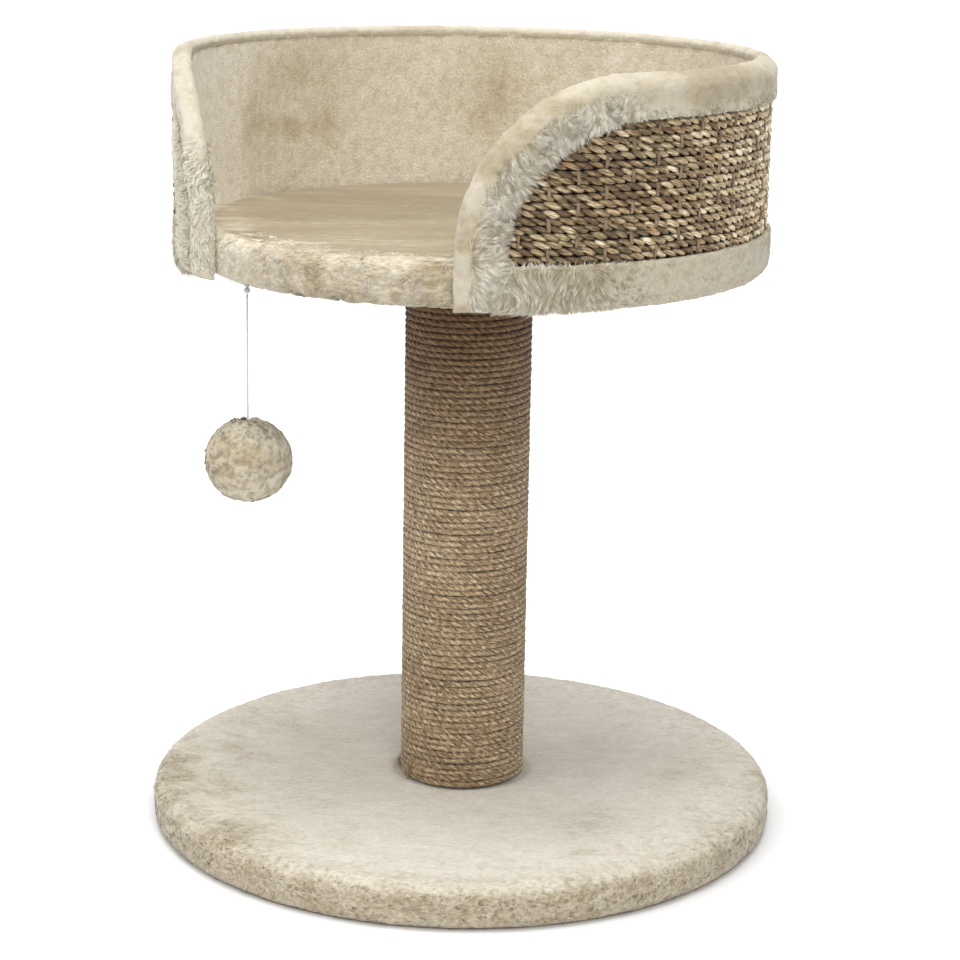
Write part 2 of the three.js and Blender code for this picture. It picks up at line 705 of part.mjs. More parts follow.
// What the lining, panel and mat take up, with the way to the inside left open.
const farInside = liningInner - 2 * WALL_MARGIN;
const wallRoom = wallLayer(liningInner - WALL_MARGIN, bandInner, RIM_CAP, [
  [liningInner - WALL_MARGIN, hemFloor],
  [panelOuter, hemFloor],
  [bandInner, hemShoulder],
]);
// The wall's outer shape, rounded at the bottom.
const wallShape = turned([
  [farInside, trayBottom],
  ...arc(wallOuter - HEM_ROUND, trayBottom + HEM_ROUND, HEM_ROUND, HEM_ROUND, -90, -30),
  [wallOuter + HEM_ROUND, trayBottom + HEM_ROUND],
  [wallOuter + HEM_ROUND, rimTop + WALL_MARGIN],
  [farInside, rimTop + WALL_MARGIN],
  [farInside, trayBottom],
]);
add('rim_trim', cut(common(rimSolid, wallShape), [wallRoom]), furTrim);

// The hem's trim closes the wall's bottom edge between the two ends of the rim's trim.
// It bends at the same angles as the layers that it covers.
const hemStart = toAngle(sEnd + RIM_BAND + GAP);
const bends = wallEdge.map(({ s, into }) => toAngle(s + layerInset * into[0]));
const hemBends = bends.filter(
  (angle) => angle > hemStart + LEAST_BEND && angle < 360 - hemStart - LEAST_BEND,
);
const hemProfile = [
  [liningInner, trayBottom],
  ...arc(wallOuter - HEM_ROUND, trayBottom + HEM_ROUND, HEM_ROUND, HEM_ROUND, -90, 0),
  [wallOuter, hemTop - TRIM_EASE],
  [wallOuter - TRIM_EASE, hemTop],
  [bandInner, hemTop],
  [bandInner, hemShoulder],
  [panelOuter, hemFloor],
  [liningInner, hemFloor],
];
const hemSections = [hemStart, ...hemBends, 360 - hemStart].map((angle) => (
  hemProfile.map(([r, z]) => around(r, angle, z))
));
add('hem_trim', lofted(hemSections), furTrim);

// ---------- Hanging toy ----------
add('toy_staple', toyStaple(), zincSteel);

// The string is tied round the staple's crown: a loop with a knot below it.
const loopRadius = (loopInner + loopOuter) / 2;
const loop = new THREE.TorusGeometry(loopRadius, STRING_RADIUS, LOOP_SIDES, LOOP_STEPS);
loop.rotateY(Math.PI / 2).translate(...toyPlace);
const knotLevel = crownLevel - loopOuter - KNOT_RADIUS + STRING_RADIUS;
function knotAt(level) {
  const knot = new THREE.SphereGeometry(KNOT_RADIUS, KNOT_STEPS, KNOT_RINGS).rotateX(Math.PI / 2);
  return knot.translate(toyPlace.x, toyPlace.y, level);
}
add('string_knot', join(loop, knotAt(knotLevel)), cord);

// The ball is a plush skin, drawn in at the top, round a core of wadding.
const ballTop = trayBottom - STRING_DROP;
const ballCentre = ballTop + BALL_DIMPLE - BALL_HEIGHT / 2;
const coreKnotLevel = ballTop - BALL_PLUSH - KNOT_RADIUS - GAP;
const stringHole = STRING_RADIUS + GAP;

// One half of the ball's outline, inside its skin by a depth, up to a hole at the top.
function ballOutline(depth, hole, steps) {
  const width = BALL_WIDTH / 2 - depth;
  const height = BALL_HEIGHT / 2 - depth;
  const last = Math.acos(hole / width);
  return Array.from({ length: steps + 1 }, (_, i) => {
    const a = -Math.PI / 2 + ((last + Math.PI / 2) * i) / steps;
    const r = i === 0 ? 0 : width * Math.cos(a);
    const drawnIn = a > 0 ? BALL_DIMPLE * Math.exp(-((r / BALL_DIMPLE_RADIUS) ** 2)) : 0;
    return [r, ballCentre + height * Math.sin(a) - drawnIn];
  });
}

const toyTurned = (profile) => turned(profile, BALL_STEPS).translate(toyPlace.x, toyPlace.y, 0);
add(
  'ball_cover',
  toyTurned([
    ...ballOutline(0, stringHole, BALL_RINGS),
    ...ballOutline(BALL_PLUSH, stringHole, CORE_RINGS).reverse(),
  ]),
  plush,
);
const pocket = KNOT_RADIUS + GAP;
add(
  'ball_core',
  toyTurned([
    ...ballOutline(BALL_PLUSH + GAP, pocket, CORE_RINGS),
    [pocket, coreKnotLevel - pocket],
    [0, coreKnotLevel - pocket],
  ]),
  wadding,
);
add('ball_knot', knotAt(coreKnotLevel), cord);

const stringTop = toyPlace.clone().setZ(knotLevel - KNOT_RADIUS - GAP);
const stringBottom = toyPlace.clone().setZ(coreKnotLevel + KNOT_RADIUS + GAP);
add('toy_string', rod(stringTop, stringBottom, STRING_RADIUS, STRING_STEPS), cord);
console.log(`toy string: ${stringTop.distanceTo(stringBottom).toFixed(1)} mm from knot to knot`);
console.log(`swing axes: ${crownLevel.toFixed(2)} mm and ${knotLevel.toFixed(2)} mm up`);

export default post;
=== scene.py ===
"""A cat scratching post: a plush base, a rope-wound post, a round plush bed whose bent wall is faced
with woven seagrass, and a plush ball on a string.

Metres, +Z up, with the origin in the middle of the base, on the floor. The bed opens towards -Y.
Angles round the post are in radians, 0 at -Y and growing towards +X."""
import math

import bpy
import numpy as np
from mathutils import Matrix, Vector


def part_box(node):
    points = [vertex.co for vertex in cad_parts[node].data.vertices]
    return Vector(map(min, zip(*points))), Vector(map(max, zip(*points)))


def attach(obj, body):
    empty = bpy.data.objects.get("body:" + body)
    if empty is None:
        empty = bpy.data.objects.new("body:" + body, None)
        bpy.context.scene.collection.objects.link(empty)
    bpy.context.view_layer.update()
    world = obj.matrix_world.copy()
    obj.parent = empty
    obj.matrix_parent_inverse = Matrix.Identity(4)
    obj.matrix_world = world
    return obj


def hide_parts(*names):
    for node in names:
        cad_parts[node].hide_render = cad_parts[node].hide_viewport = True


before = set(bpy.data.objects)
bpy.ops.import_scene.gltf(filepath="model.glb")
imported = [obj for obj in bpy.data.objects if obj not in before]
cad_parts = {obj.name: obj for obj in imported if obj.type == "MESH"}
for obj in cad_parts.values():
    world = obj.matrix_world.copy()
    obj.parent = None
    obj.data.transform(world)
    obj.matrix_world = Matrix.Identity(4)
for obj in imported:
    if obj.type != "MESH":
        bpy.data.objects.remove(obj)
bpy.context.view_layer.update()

# ---------- Camera ----------
# A long lens looks slightly down on the bed, from the front and to the right of the opening.
CAMERA_PLACE = (0.8303, -1.3287, 0.6229)
CAMERA_AZIMUTH = math.radians(32)
CAMERA_PITCH = math.radians(14.38)
CAMERA_ROLL = 0.0162
CAMERA_YAW = math.radians(0.307)
LENS_MM = 95.2
SENSOR_MM = 36


def turned_pair(first, second, angle):
    """Two square unit vectors, both turned by an angle from the first towards the second: cosine times
    itself plus sine times the other for the first, and minus for the second."""
    cosine, sine = math.cos(angle), math.sin(angle)
    return cosine * first + sine * second, cosine * second - sine * first


across = np.array([math.cos(CAMERA_AZIMUTH), math.sin(CAMERA_AZIMUTH), 0.0])
away = np.array([-math.sin(CAMERA_AZIMUTH), math.cos(CAMERA_AZIMUTH), 0.0])
upright = np.array([0.0, 0.0, 1.0])
upright, away = turned_pair(upright, away, CAMERA_PITCH)
across, upright = turned_pair(across, upright, CAMERA_ROLL)
away, across = turned_pair(away, across, CAMERA_YAW)
camera = bpy.data.objects.new("camera", bpy.data.cameras.new("camera"))
bpy.context.scene.collection.objects.link(camera)
camera.data.lens = LENS_MM
camera.data.sensor_width = SENSOR_MM
camera.matrix_world = Matrix(
    [[across[i], upright[i], -away[i], CAMERA_PLACE[i]] for i in range(3)] + [[0, 0, 0, 1]]
)
bpy.context.scene.camera = camera
bpy.context.scene.view_settings.view_transform = "Standard"

# ---------- Studio ----------
# A white room: a pale floor that keeps the post's shadow, an even sky, and three large soft lamps.
SKY_STRENGTH = 0.5
FLOOR_SIZE = 30.0
FLOOR_COLOUR = (0.86, 0.86, 0.87, 1)
WHITE = (1, 1, 1, 1)
FLOOR_LIFT_NEAR = 0.0  # white added to the floor that the camera sees, where the shadow falls
FLOOR_LIFT_FAR = 0.75
LIFT_START, LIFT_END = 0.200, 0.245  # metres from the post
LAMP_AIM = np.array([0.0, 0.0, 0.25])
LAMPS = (
    # name, place, width, watts
    ("key_lamp", (1.6, -1.9, 1.9), 1.3, 28),
    ("fill_lamp", (-1.7, -1.7, 1.3), 1.5, 14),
    ("top_lamp", (0.1, -0.3, 2.5), 1.5, 42),
)


def node(tree, kind, inputs=None, **settings):
    """A shader node: its settings by name, and its inputs as values or as sockets to link."""
    made = tree.nodes.new(kind)
    for key, value in settings.items():
        setattr(made, key, value)
    for key, value in (inputs or {}).items():
        if isinstance(value, bpy.types.NodeSocket):
            tree.links.new(value, made.inputs[key])
        else:
            made.inputs[key].default_value = value
    return made


def seen_directly(tree):
    """1 for camera, glossy and transmission rays, and 0 for the light that falls on things."""
    path = node(tree, "ShaderNodeLightPath")
    straight = node(
        tree, "ShaderNodeMath", {0: path.outputs["Is Camera Ray"], 1: path.outputs["Is Glossy Ray"]},
        operation="MAXIMUM",
    )
    return node(
        tree, "ShaderNodeMath", {0: straight.outputs[0], 1: path.outputs["Is Transmission Ray"]},
        operation="MAXIMUM",
    ).outputs[0]


world = bpy.data.worlds.new("studio")
bpy.context.scene.world = world
world.use_nodes = True
sky = world.node_tree
sky.nodes.clear()
sky_light = node(sky, "ShaderNodeBackground", {"Color": WHITE, "Strength": SKY_STRENGTH})
sky_seen = node(sky, "ShaderNodeBackground", {"Color": WHITE, "Strength": 1.0})
sky_mix = node(
    sky, "ShaderNodeMixShader", {0: seen_directly(sky), 1: sky_light.outputs[0], 2: sky_seen.outputs[0]}
)
node(sky, "ShaderNodeOutputWorld", {"Surface": sky_mix.outputs[0]})

for lamp_name, place, width, watts in LAMPS:
    light = bpy.data.lights.new(lamp_name, "AREA")
    light.size = width
    light.energy = watts
    lamp = bpy.data.objects.new(lamp_name, light)
    bpy.context.scene.collection.objects.link(lamp)
    aim = LAMP_AIM - np.array(place)
    lamp.location = place
    lamp.rotation_euler = (
        math.atan2(math.hypot(aim[0], aim[1]), -aim[2]), 0, math.atan2(aim[1], aim[0]) - math.pi / 2,
    )


def mesh_piece(name, points, face_groups, uv=None, body="stand", normals=None):
    """A smooth piece from points (n, 3) and arrays of faces (m, corners), riding on a body. The map
    uv, one pair for each corner of each face, is the one that its colours are kept on. It is shaded by
    its own normals, or by those given for its points."""
    mesh = bpy.data.meshes.new(name)
    mesh.vertices.add(len(points))
    mesh.vertices.foreach_set("co", points.astype(np.float32).ravel())
    corners = np.concatenate([faces.ravel() for faces in face_groups]).astype(np.int32)
    sizes = np.concatenate([np.full(len(faces), faces.shape[1]) for faces in face_groups])
    mesh.loops.add(len(corners))
    mesh.loops.foreach_set("vertex_index", corners)
    mesh.polygons.add(len(sizes))
    mesh.polygons.foreach_set("loop_start", (np.cumsum(sizes) - sizes).astype(np.int32))
    if uv is not None:
        mesh.uv_layers.new(name="OFBake").data.foreach_set("uv", uv.astype(np.float32).ravel())
    mesh.update(calc_edges=True)
    mesh.shade_smooth()
    if normals is not None:
        mesh.normals_split_custom_set_from_vertices(normals)
    piece = bpy.data.objects.new(name, mesh)
    bpy.context.scene.collection.objects.link(piece)
    if body:
        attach(piece, body)
    return piece


floor_corners = FLOOR_SIZE / 2 * np.array([[-1, -1, 0], [1, -1, 0], [1, 1, 0], [-1, 1, 0]])
floor = mesh_piece("floor", floor_corners, [np.array([[0, 1, 2, 3]])], body=None)
floor_material = bpy.data.materials.new("white_floor")
floor_material.use_nodes = True
tree = floor_material.node_tree
tree.nodes.clear()
matt = node(tree, "ShaderNodeBsdfDiffuse", {"Color": FLOOR_COLOUR})
from_post = node(tree, "ShaderNodeVectorMath", {
    0: node(tree, "ShaderNodeTexCoord").outputs["Object"],
}, operation="LENGTH")
lift_here = node(tree, "ShaderNodeMapRange", {
    "Value": from_post.outputs["Value"], "From Min": LIFT_START, "From Max": LIFT_END,
    "To Min": FLOOR_LIFT_NEAR, "To Max": FLOOR_LIFT_FAR,
})
lift = node(tree, "ShaderNodeEmission", {"Color": WHITE, "Strength": lift_here.outputs[0]})
lifted = node(tree, "ShaderNodeAddShader", {0: matt.outputs[0], 1: lift.outputs[0]})
floor_mix = node(
    tree, "ShaderNodeMixShader", {0: seen_directly(tree), 1: matt.outputs[0], 2: lifted.outputs[0]}
)
node(tree, "ShaderNodeOutputMaterial", {"Surface": floor_mix.outputs[0]})
floor.data.materials.append(floor_material)

# ---------- Toy string ----------
# A thin pale two-ply cord, tied to the staple under the bed. It hangs plumb, with the ball's
# weight on it, and ends in a knot inside the ball.
STRING_WIDTH = 0.0013
STRING_LAY = 0.0032  # one turn of its two plies
STRING_STEP = 0.0004
STRING_SIDES = 10
STRING_GROOVE = 0.2  # of its radius


def grid_faces(rows, columns, closed_rows=False, closed_columns=False):
    """The quads of a grid of points, which face along (column direction) x (row direction), with
    their map: one pair for each corner, across from 0 to 1 and up from 0 to 1."""
    last_row = rows if closed_rows else rows - 1
    last_column = columns if closed_columns else columns - 1
    i, j = (a.ravel() for a in np.meshgrid(np.arange(last_row), np.arange(last_column), indexing="ij"))
    i_next, j_next = (i + 1) % rows, (j + 1) % columns
    quads = np.stack([i * columns + j, i * columns + j_next, i_next * columns + j_next,
                      i_next * columns + j], axis=1)
    u = np.stack([j, j + 1, j + 1, j], axis=1) / last_column
    v = np.stack([i, i, i + 1, i + 1], axis=1) / last_row
    return quads, np.stack([u, v], axis=2).reshape(-1, 2)


def end_fans(grid):
    """Closes the first and last row of a grid of points, closed across its columns, each with a fan
    to its middle. Returns all the points, the two fans and their map."""
    rows, columns = grid.shape[:2]
    j = np.arange(columns)
    j_next = (j + 1) % columns
    first, last = rows * columns, rows * columns + 1
    points = np.concatenate([grid.reshape(-1, 3), [grid[0].mean(0)], [grid[-1].mean(0)]])
    start = np.stack([j_next, j, np.full(columns, first)], axis=1)
    end_row = (rows - 1) * columns
    end = np.stack([end_row + j, end_row + j_next, np.full(columns, last)], axis=1)
    u = np.stack([j, j + 1, j + 0.5], axis=1) / columns
    start_uv = np.stack([u[:, [1, 0, 2]], np.tile([0.01, 0.01, 0.0], (columns, 1))], axis=2)
    end_uv = np.stack([u, np.tile([0.99, 0.99, 1.0], (columns, 1))], axis=2)
    return points, [start, end], [start_uv.reshape(-1, 2), end_uv.reshape(-1, 2)]


def tube_piece(name, grid, body="stand"):
    """A closed tube from a grid of rings: rows along it, columns round it."""
    quads, quad_uv = grid_faces(*grid.shape[:2], closed_columns=True)
    points, fans, fan_uv = end_fans(grid)
    return mesh_piece(name, points, [quads, *fans], np.concatenate([quad_uv, *fan_uv]), body)


string_low, string_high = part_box("toy_string")
string_x = (string_low.x + string_high.x) / 2
string_y = (string_low.y + string_high.y) / 2
string_rows = int((string_high.z - string_low.z) / STRING_STEP) + 1
string_z = np.linspace(string_low.z, string_high.z, string_rows)
string_turn, string_level = np.meshgrid(
    np.arange(STRING_SIDES) * 2 * math.pi / STRING_SIDES, string_z
)
# Its radius is largest at the middles of its two plies, which wind round it.
from_groove = np.abs(np.cos(string_turn - 2 * math.pi * string_level / STRING_LAY))
string_radius = STRING_WIDTH / 2 * (1 - STRING_GROOVE * (1 - from_groove))
toy_string = tube_piece(
    "hanging_string",
    np.stack([
        string_x + string_radius * np.cos(string_turn), string_y + string_radius * np.sin(string_turn),
        string_level,
    ], axis=2),
    "toy",
)
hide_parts("toy_string")


def srgb(red, green, blue):
    """A colour given in 0 to 255 as a screen shows it, in linear light."""
    parts = np.array([red, green, blue]) / 255
    linear = np.where(parts <= 0.04045, parts / 12.92, ((parts + 0.055) / 1.055) ** 2.4)
    return (*linear.tolist(), 1.0)


def new_material(name, roughness, sheen=0.0, metallic=0.0):
    """A material with a Principled BSDF. Returns it, its tree and its shader."""
    made = bpy.data.materials.new(name)
    made.use_nodes = True
    shader = made.node_tree.nodes["Principled BSDF"]
    shader.inputs["Roughness"].default_value = roughness
    shader.inputs["Metallic"].default_value = metallic
    shader.inputs["Sheen Weight"].default_value = sheen
    return made, made.node_tree, shader


def mixed(tree, share, first, second, blend="MIX"):
    """Two colours mixed: the first, and by the share the second, or their product with MULTIPLY."""
    return node(tree, "ShaderNodeMix", {
        0: share, 6: first, 7: second,
    }, data_type="RGBA", blend_type=blend).outputs[2]


def ramp(tree, factor, *stops, high=None, low=None):
    """A colour that follows a factor through stops of (place, colour). With high and low it is
    multiplied by the colour low where high is 0, and by white where it is 1."""
    made = node(tree, "ShaderNodeValToRGB", {"Fac": factor})
    stretch = made.color_ramp.elements
    while len(stretch) < len(stops):
        stretch.new(0.5)
    for element, (place, colour) in zip(stretch, stops):
        element.position = place
        element.color = colour
    if high is None:
        return made.outputs["Color"]
    return mixed(tree, 1.0, made.outputs["Color"], ramp(tree, high, (0.0, low), (1.0, WHITE)), "MULTIPLY")


def bumped(tree, shader, height, distance, strength=1.0):
    """Puts a height, in metres when multiplied by distance, on the shader's normal."""
    bump = node(tree, "ShaderNodeBump", {"Height": height, "Distance": distance, "Strength": strength})
    tree.links.new(bump.outputs["Normal"], shader.inputs["Normal"])


def paint(tree, shader, colour):
    """Gives the shader its colour."""
    tree.links.new(colour, shader.inputs["Base Color"])


def dress(material, *pieces):
    """Gives a material to new pieces, or to CAD nodes by name."""
    for piece in pieces:
        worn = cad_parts[piece] if isinstance(piece, str) else piece
        worn.data.materials.clear()
        worn.data.materials.append(material)


# Grain: noise of a given size in metres, and its own finer half, from Object coordinates.
grain = bpy.data.node_groups.new("grain", "ShaderNodeTree")
grain.interface.new_socket("Size", in_out="INPUT", socket_type="NodeSocketFloat")
grain.interface.new_socket("Stretch", in_out="INPUT", socket_type="NodeSocketVector")
grain.interface.new_socket("Turn", in_out="INPUT", socket_type="NodeSocketFloat")
grain.interface.new_socket("Value", in_out="OUTPUT", socket_type="NodeSocketFloat")
grain_in = node(grain, "NodeGroupInput")
turned = node(grain, "ShaderNodeVectorRotate", {
    "Vector": node(grain, "ShaderNodeTexCoord").outputs["Object"], "Angle": grain_in.outputs["Turn"],
}, rotation_type="Z_AXIS")
stretched = node(grain, "ShaderNodeVectorMath", {
    0: turned.outputs[0], 1: grain_in.outputs["Stretch"],
}, operation="DIVIDE")
per_metre = node(grain, "ShaderNodeMath", {0: 1.0, 1: grain_in.outputs["Size"]}, operation="DIVIDE")
grain_noise = node(grain, "ShaderNodeTexNoise", {
    "Vector": stretched.outputs[0], "Scale": per_metre.outputs[0], "Detail": 2.0, "Roughness": 0.6,
})
node(grain, "NodeGroupOutput", {"Value": grain_noise.outputs[0]})


def grain_value(tree, size, stretch=(1, 1, 1), turn=0.0):
    """The grain group, placed in a material with its own values."""
    placed = node(tree, "ShaderNodeGroup", node_tree=grain)
    placed.inputs["Size"].default_value = size
    placed.inputs["Stretch"].default_value = stretch
    placed.inputs["Turn"].default_value = turn
    return placed.outputs["Value"]


def two_tone(name, roughness, size, dark, pale, stretch=(1, 1, 1), stops=(0.3, 0.7), relief=0.0, **finish):
    """A material whose colour goes from dark to pale with its grain, which can stand in relief too."""
    made, tree, shader = new_material(name, roughness, **finish)
    fibre = grain_value(tree, size, stretch)
    paint(tree, shader, ramp(tree, fibre, (stops[0], srgb(*dark)), (stops[1], srgb(*pale))))
    if relief:
        bumped(tree, shader, fibre, relief)
    return made


cord_material = two_tone(
    "pale_cord", 0.8, 0.0006, (182, 182, 184), (226, 226, 228), (1, 1, 3), (0.35, 0.65), relief=0.0002,
)
dress(cord_material, toy_string, "string_knot", "ball_knot")

# ---------- Base ----------
# A particle board disc in short beige plush. The plush is glued over the top, pulled round the
# edge and stapled under it, with a thin felt below. The pile stands up in tufts at the edge.
BASE_TOP_ROUND = 0.0105
BASE_BOTTOM_ROUND = 0.008
BASE_PRESS = 0.0023  # how far the post's foot presses the pile down
BASE_COLUMNS = 840
BASE_EDGE_BAND = 0.045  # in from the edge, where the pile stands up
BASE_UNDER_PLUSH = 0.0015  # thickness of the plush that is turned under
BOLT_HOLE = 0.0042  # its radius in the plush
BOARD_CHAMFER = 0.003  # round the edges of both boards
TUFT = 0.0042  # between the tufts of the pile
TUFT_RELIEF = 0.0008
BASE_PILE_COUNT = 42000
BASE_PILE_LENGTH = 0.0030
PILE_WIDTH = 0.00045
PILE_ROOT = 0.0005  # how far its hairs start below the skin
SKIN_GAP = 0.0003  # between a skin and what it covers
BRUSH_AND_PAINTED_LIGHT_ANGLE = math.radians(32)  # the camera's angle: the pile is brushed away from it, and painted light follows it
PAINTED_LIGHT_PLACE = (0.058, 0.042, 0.055)  # x, y and width of a painted light: a pale spot beside the post, where the bed's shadow falls
BRUSHED_PATCHES = (  # x, y and width of the tan places on the base
    (-0.172, -0.005, 0.034), (-0.050, -0.184, 0.045), (0.121, 0.072, 0.024), (0.118, -0.035, 0.020),
    (-0.125, 0.010, 0.030), (-0.120, -0.117, 0.046),
)


def around(radius, angle, z):
    """Points at a radius and an angle round the post."""
    radius, angle, z = np.broadcast_arrays(radius, angle, z)
    return np.stack([radius * np.sin(angle), -radius * np.cos(angle), z], axis=-1)


def line(start, end, step, fluff=0.0):
    """Rows [across, up, fluff], about step apart, from start up to but not including end. Fluff is how
    far the pile's relief shows there, 0 to 1."""
    count = max(1, round(math.dist(start, end) / step))
    t = np.arange(count)[:, None] / count
    ends = np.array([[*start, fluff], [*end, fluff]])
    return ends[0] + t * (ends[1] - ends[0])


def bow(centre, radii, first, last, step, fluff=0.0):
    """Rows [across, up, fluff] on an arc of an ellipse, from the first to the last angle in degrees:
    centre plus a radius times the angle's cosine across, and times its sine up."""
    sweep = math.radians(last - first)
    count = max(2, round(abs(sweep) * max(radii) / step))
    angle = math.radians(first) + sweep * np.arange(count) / count
    return np.stack([
        centre[0] + radii[0] * np.cos(angle), centre[1] + radii[1] * np.sin(angle), np.full(count, fluff),
    ], axis=1)


def smooth_step(low, high, value):
    """0 below low, 1 above high, and between them three times the share's square less twice its cube."""
    share = np.clip((value - low) / (high - low), 0, 1)
    return share * share * (3 - 2 * share)


LATTICE_START = 1000  # keeps every lattice cell's number above 0


def lattice_corner(cell, table):
    """The table's values at lattice cells (..., 3), repeated without end."""
    i, j, k = np.moveaxis(cell % table.shape[0], -1, 0)
    return table[i, j, k]


def cloud(points, size, seed):
    """Smooth noise from 0 to 1: random values on a lattice of that size, blended between its corners
    by a smooth step of the way across the cell."""
    table = np.random.default_rng(seed).random((32, 32, 32))
    place = points / size + LATTICE_START
    cell = np.floor(place).astype(int)
    share = smooth_step(0, 1, place - cell)
    return sum(
        np.prod(np.where(corner, share, 1 - share), axis=-1) * lattice_corner(cell + corner, table)
        for corner in np.stack(np.meshgrid(*[[0, 1]] * 3, indexing="ij"), axis=-1).reshape(-1, 3)
    )


def tufts(points, size, seed):
    """Tufts scattered about size apart. For each point: how far inside its own tuft it is, from 0 at
    the edge to about 1, that tuft's random tone, and the way to the tuft's middle."""
    rng = np.random.default_rng(seed)
    middles, tones = rng.random((16, 16, 16, 3)), rng.random((16, 16, 16))
    place = points / size + LATTICE_START
    cell = np.floor(place).astype(int)
    nearest = np.full(points.shape[:-1], 9.0)
    second, tone, way = nearest.copy(), nearest.copy(), np.zeros(points.shape)
    for step in np.ndindex(3, 3, 3):
        neighbour = cell + step - 1
        offset = neighbour + lattice_corner(neighbour, middles) - place
        distance = np.linalg.norm(offset, axis=-1)
        closer = distance < nearest
        second = np.where(closer, nearest, np.minimum(second, distance))
        nearest = np.where(closer, distance, nearest)
        tone = np.where(closer, lattice_corner(neighbour, tones), tone)
        way = np.where(closer[..., None], offset, way)
    return np.clip(second - nearest, 0, 1), tone, way * size


def unit(vectors):
    """Vectors made one long."""
    return vectors / np.maximum(np.linalg.norm(vectors, axis=-1, keepdims=True), 1e-12)


def directions(grid, closed_rows, closed_columns):
    """Unit vectors along the rows' and the columns' steps of a grid, and square to both, outwards."""
    def slope(axis, closed):
        """How the grid's points change along an axis, from the neighbour before to the one after."""
        if closed:
            return np.roll(grid, -1, axis) - np.roll(grid, 1, axis)
        return np.gradient(grid, axis=axis)
    down, along = slope(0, closed_rows), slope(1, closed_columns)
    return [unit(way) for way in (down, along, np.cross(along, down))]


def nap(points, patch, seed, share=0.5):
    """How pale the brushed pile looks, from 0 to 1: soft patches, with the given share of them pale.
    Noise of three sizes is added up and made steeper about its middle."""
    large = cloud(points, patch, seed)
    small = cloud(points, patch / 3.1, seed + 1)
    streak = cloud(points * np.array([1.0, 1.0, 2.2]), patch / 8.0, seed + 2)
    value = 0.55 * large + 0.3 * small + 0.15 * streak
    return smooth_step(0.32, 0.68, value + 0.36 * (share - 0.5))


def plush_relief(points, size, seed):
    """Height of the pile's surface, from about 0 in its hollows to 1 on its swells."""
    broad = cloud(points, size, seed)
    finer = cloud(points, size / 2.3, seed + 1)
    return smooth_step(0.2, 0.8, 0.55 * broad + 0.45 * finer)


RELIEF_LEVEL = 0.8  # the pile's height at which the skin stays on its grid


def keep_values(piece, **values):
    """Keeps values, one for each point of a piece, for its material to read."""
    for key, value in values.items():
        kept = piece.data.attributes.new(key, "FLOAT", "POINT")
        kept.data.foreach_set("value", value.astype(np.float32))


def skin_piece(name, grid, fluff, tone, relief, seed, tuft=TUFT, closed_columns=True, poles=False):
    """A plush skin: a closed grid of points, raised along its own normals by the pile's relief times
    fluff. It keeps how pale the nap is, with any painted light and shade added to it, and how high in
    the pile each point lies. Returns it and its grid."""
    closed_rows = not poles
    outward = directions(grid, closed_rows, closed_columns)[2]
    height = plush_relief(grid, tuft, seed)
    raised = grid + outward * ((height - RELIEF_LEVEL) * relief * fluff)[..., None]
    quads, uv = grid_faces(*grid.shape[:2], closed_rows, closed_columns)
    points, groups, maps = raised.reshape(-1, 3), [quads], [uv]
    tone, height = tone.ravel(), np.where(fluff > 0, height, 1.0).ravel()
    if poles or not closed_columns:
        points, fans, fan_maps = (end_fans if poles else end_caps)(raised)
        groups, maps = groups + fans, maps + fan_maps
        tone, height = np.append(tone, [0.5, 0.5]), np.append(height, [1.0, 1.0])
    piece = mesh_piece(name, points, groups, np.concatenate(maps))
    keep_values(piece, nap=tone, tuft=height)
    return piece, raised


def end_caps(grid):
    """Closes the first and last column of a grid of points, closed across its rows, each with a fan to
    its middle. Returns all the points, the two fans and their map."""
    rows, columns = grid.shape[:2]
    i = np.arange(rows)
    i_next = (i + 1) % rows
    points = np.concatenate([grid.reshape(-1, 3), [grid[:, 0].mean(0)], [grid[:, -1].mean(0)]])
    first = np.stack([i * columns, i_next * columns, np.full(rows, rows * columns)], axis=1)
    last = np.stack([
        i_next * columns + columns - 1, i * columns + columns - 1, np.full(rows, rows * columns + 1),
    ], axis=1)
    v = np.stack([i, i + 1, i + 0.5], axis=1) / rows
    first_uv = np.stack([np.tile([0.004, 0.004, 0.0], (rows, 1)), v], axis=2)
    last_uv = np.stack([np.tile([0.996, 0.996, 1.0], (rows, 1)), v[:, [1, 0, 2]]], axis=2)
    return points, [first, last], [first_uv.reshape(-1, 2), last_uv.reshape(-1, 2)]


def scattered(grid, fields, weight, count, seed):
    """Random places on a grid's cells, as many to an area as weight says: a cell's area is half the
    cross product of its diagonals. Returns the points there, and each field of values or vectors
    blended from the cell's corners."""
    rng = np.random.default_rng(seed)
    diagonal, other = grid[1:, 1:] - grid[:-1, :-1], grid[1:, :-1] - grid[:-1, 1:]
    area = np.linalg.norm(np.cross(diagonal, other), axis=2) / 2 * weight[:-1, :-1]
    cell = rng.choice(area.size, count, p=area.ravel() / area.sum())
    i, j = np.unravel_index(cell, area.shape)
    across, up = rng.random((2, count))

    def there(field):
        """A field, blended across the cell and then up it."""
        x, y = (share.reshape(-1, *[1] * (field.ndim - 2)) for share in (across, up))
        low = (1 - x) * field[i, j] + x * field[i, j + 1]
        high = (1 - x) * field[i + 1, j] + x * field[i + 1, j + 1]
        return (1 - y) * low + y * high
    return there(grid), [there(field) for field in fields]


HAIR_TAPER = 0.35  # of its width, lost from the root to just before the tip
HAIR_RIDGE = 1.2  # how far its third side stands out, of half its width


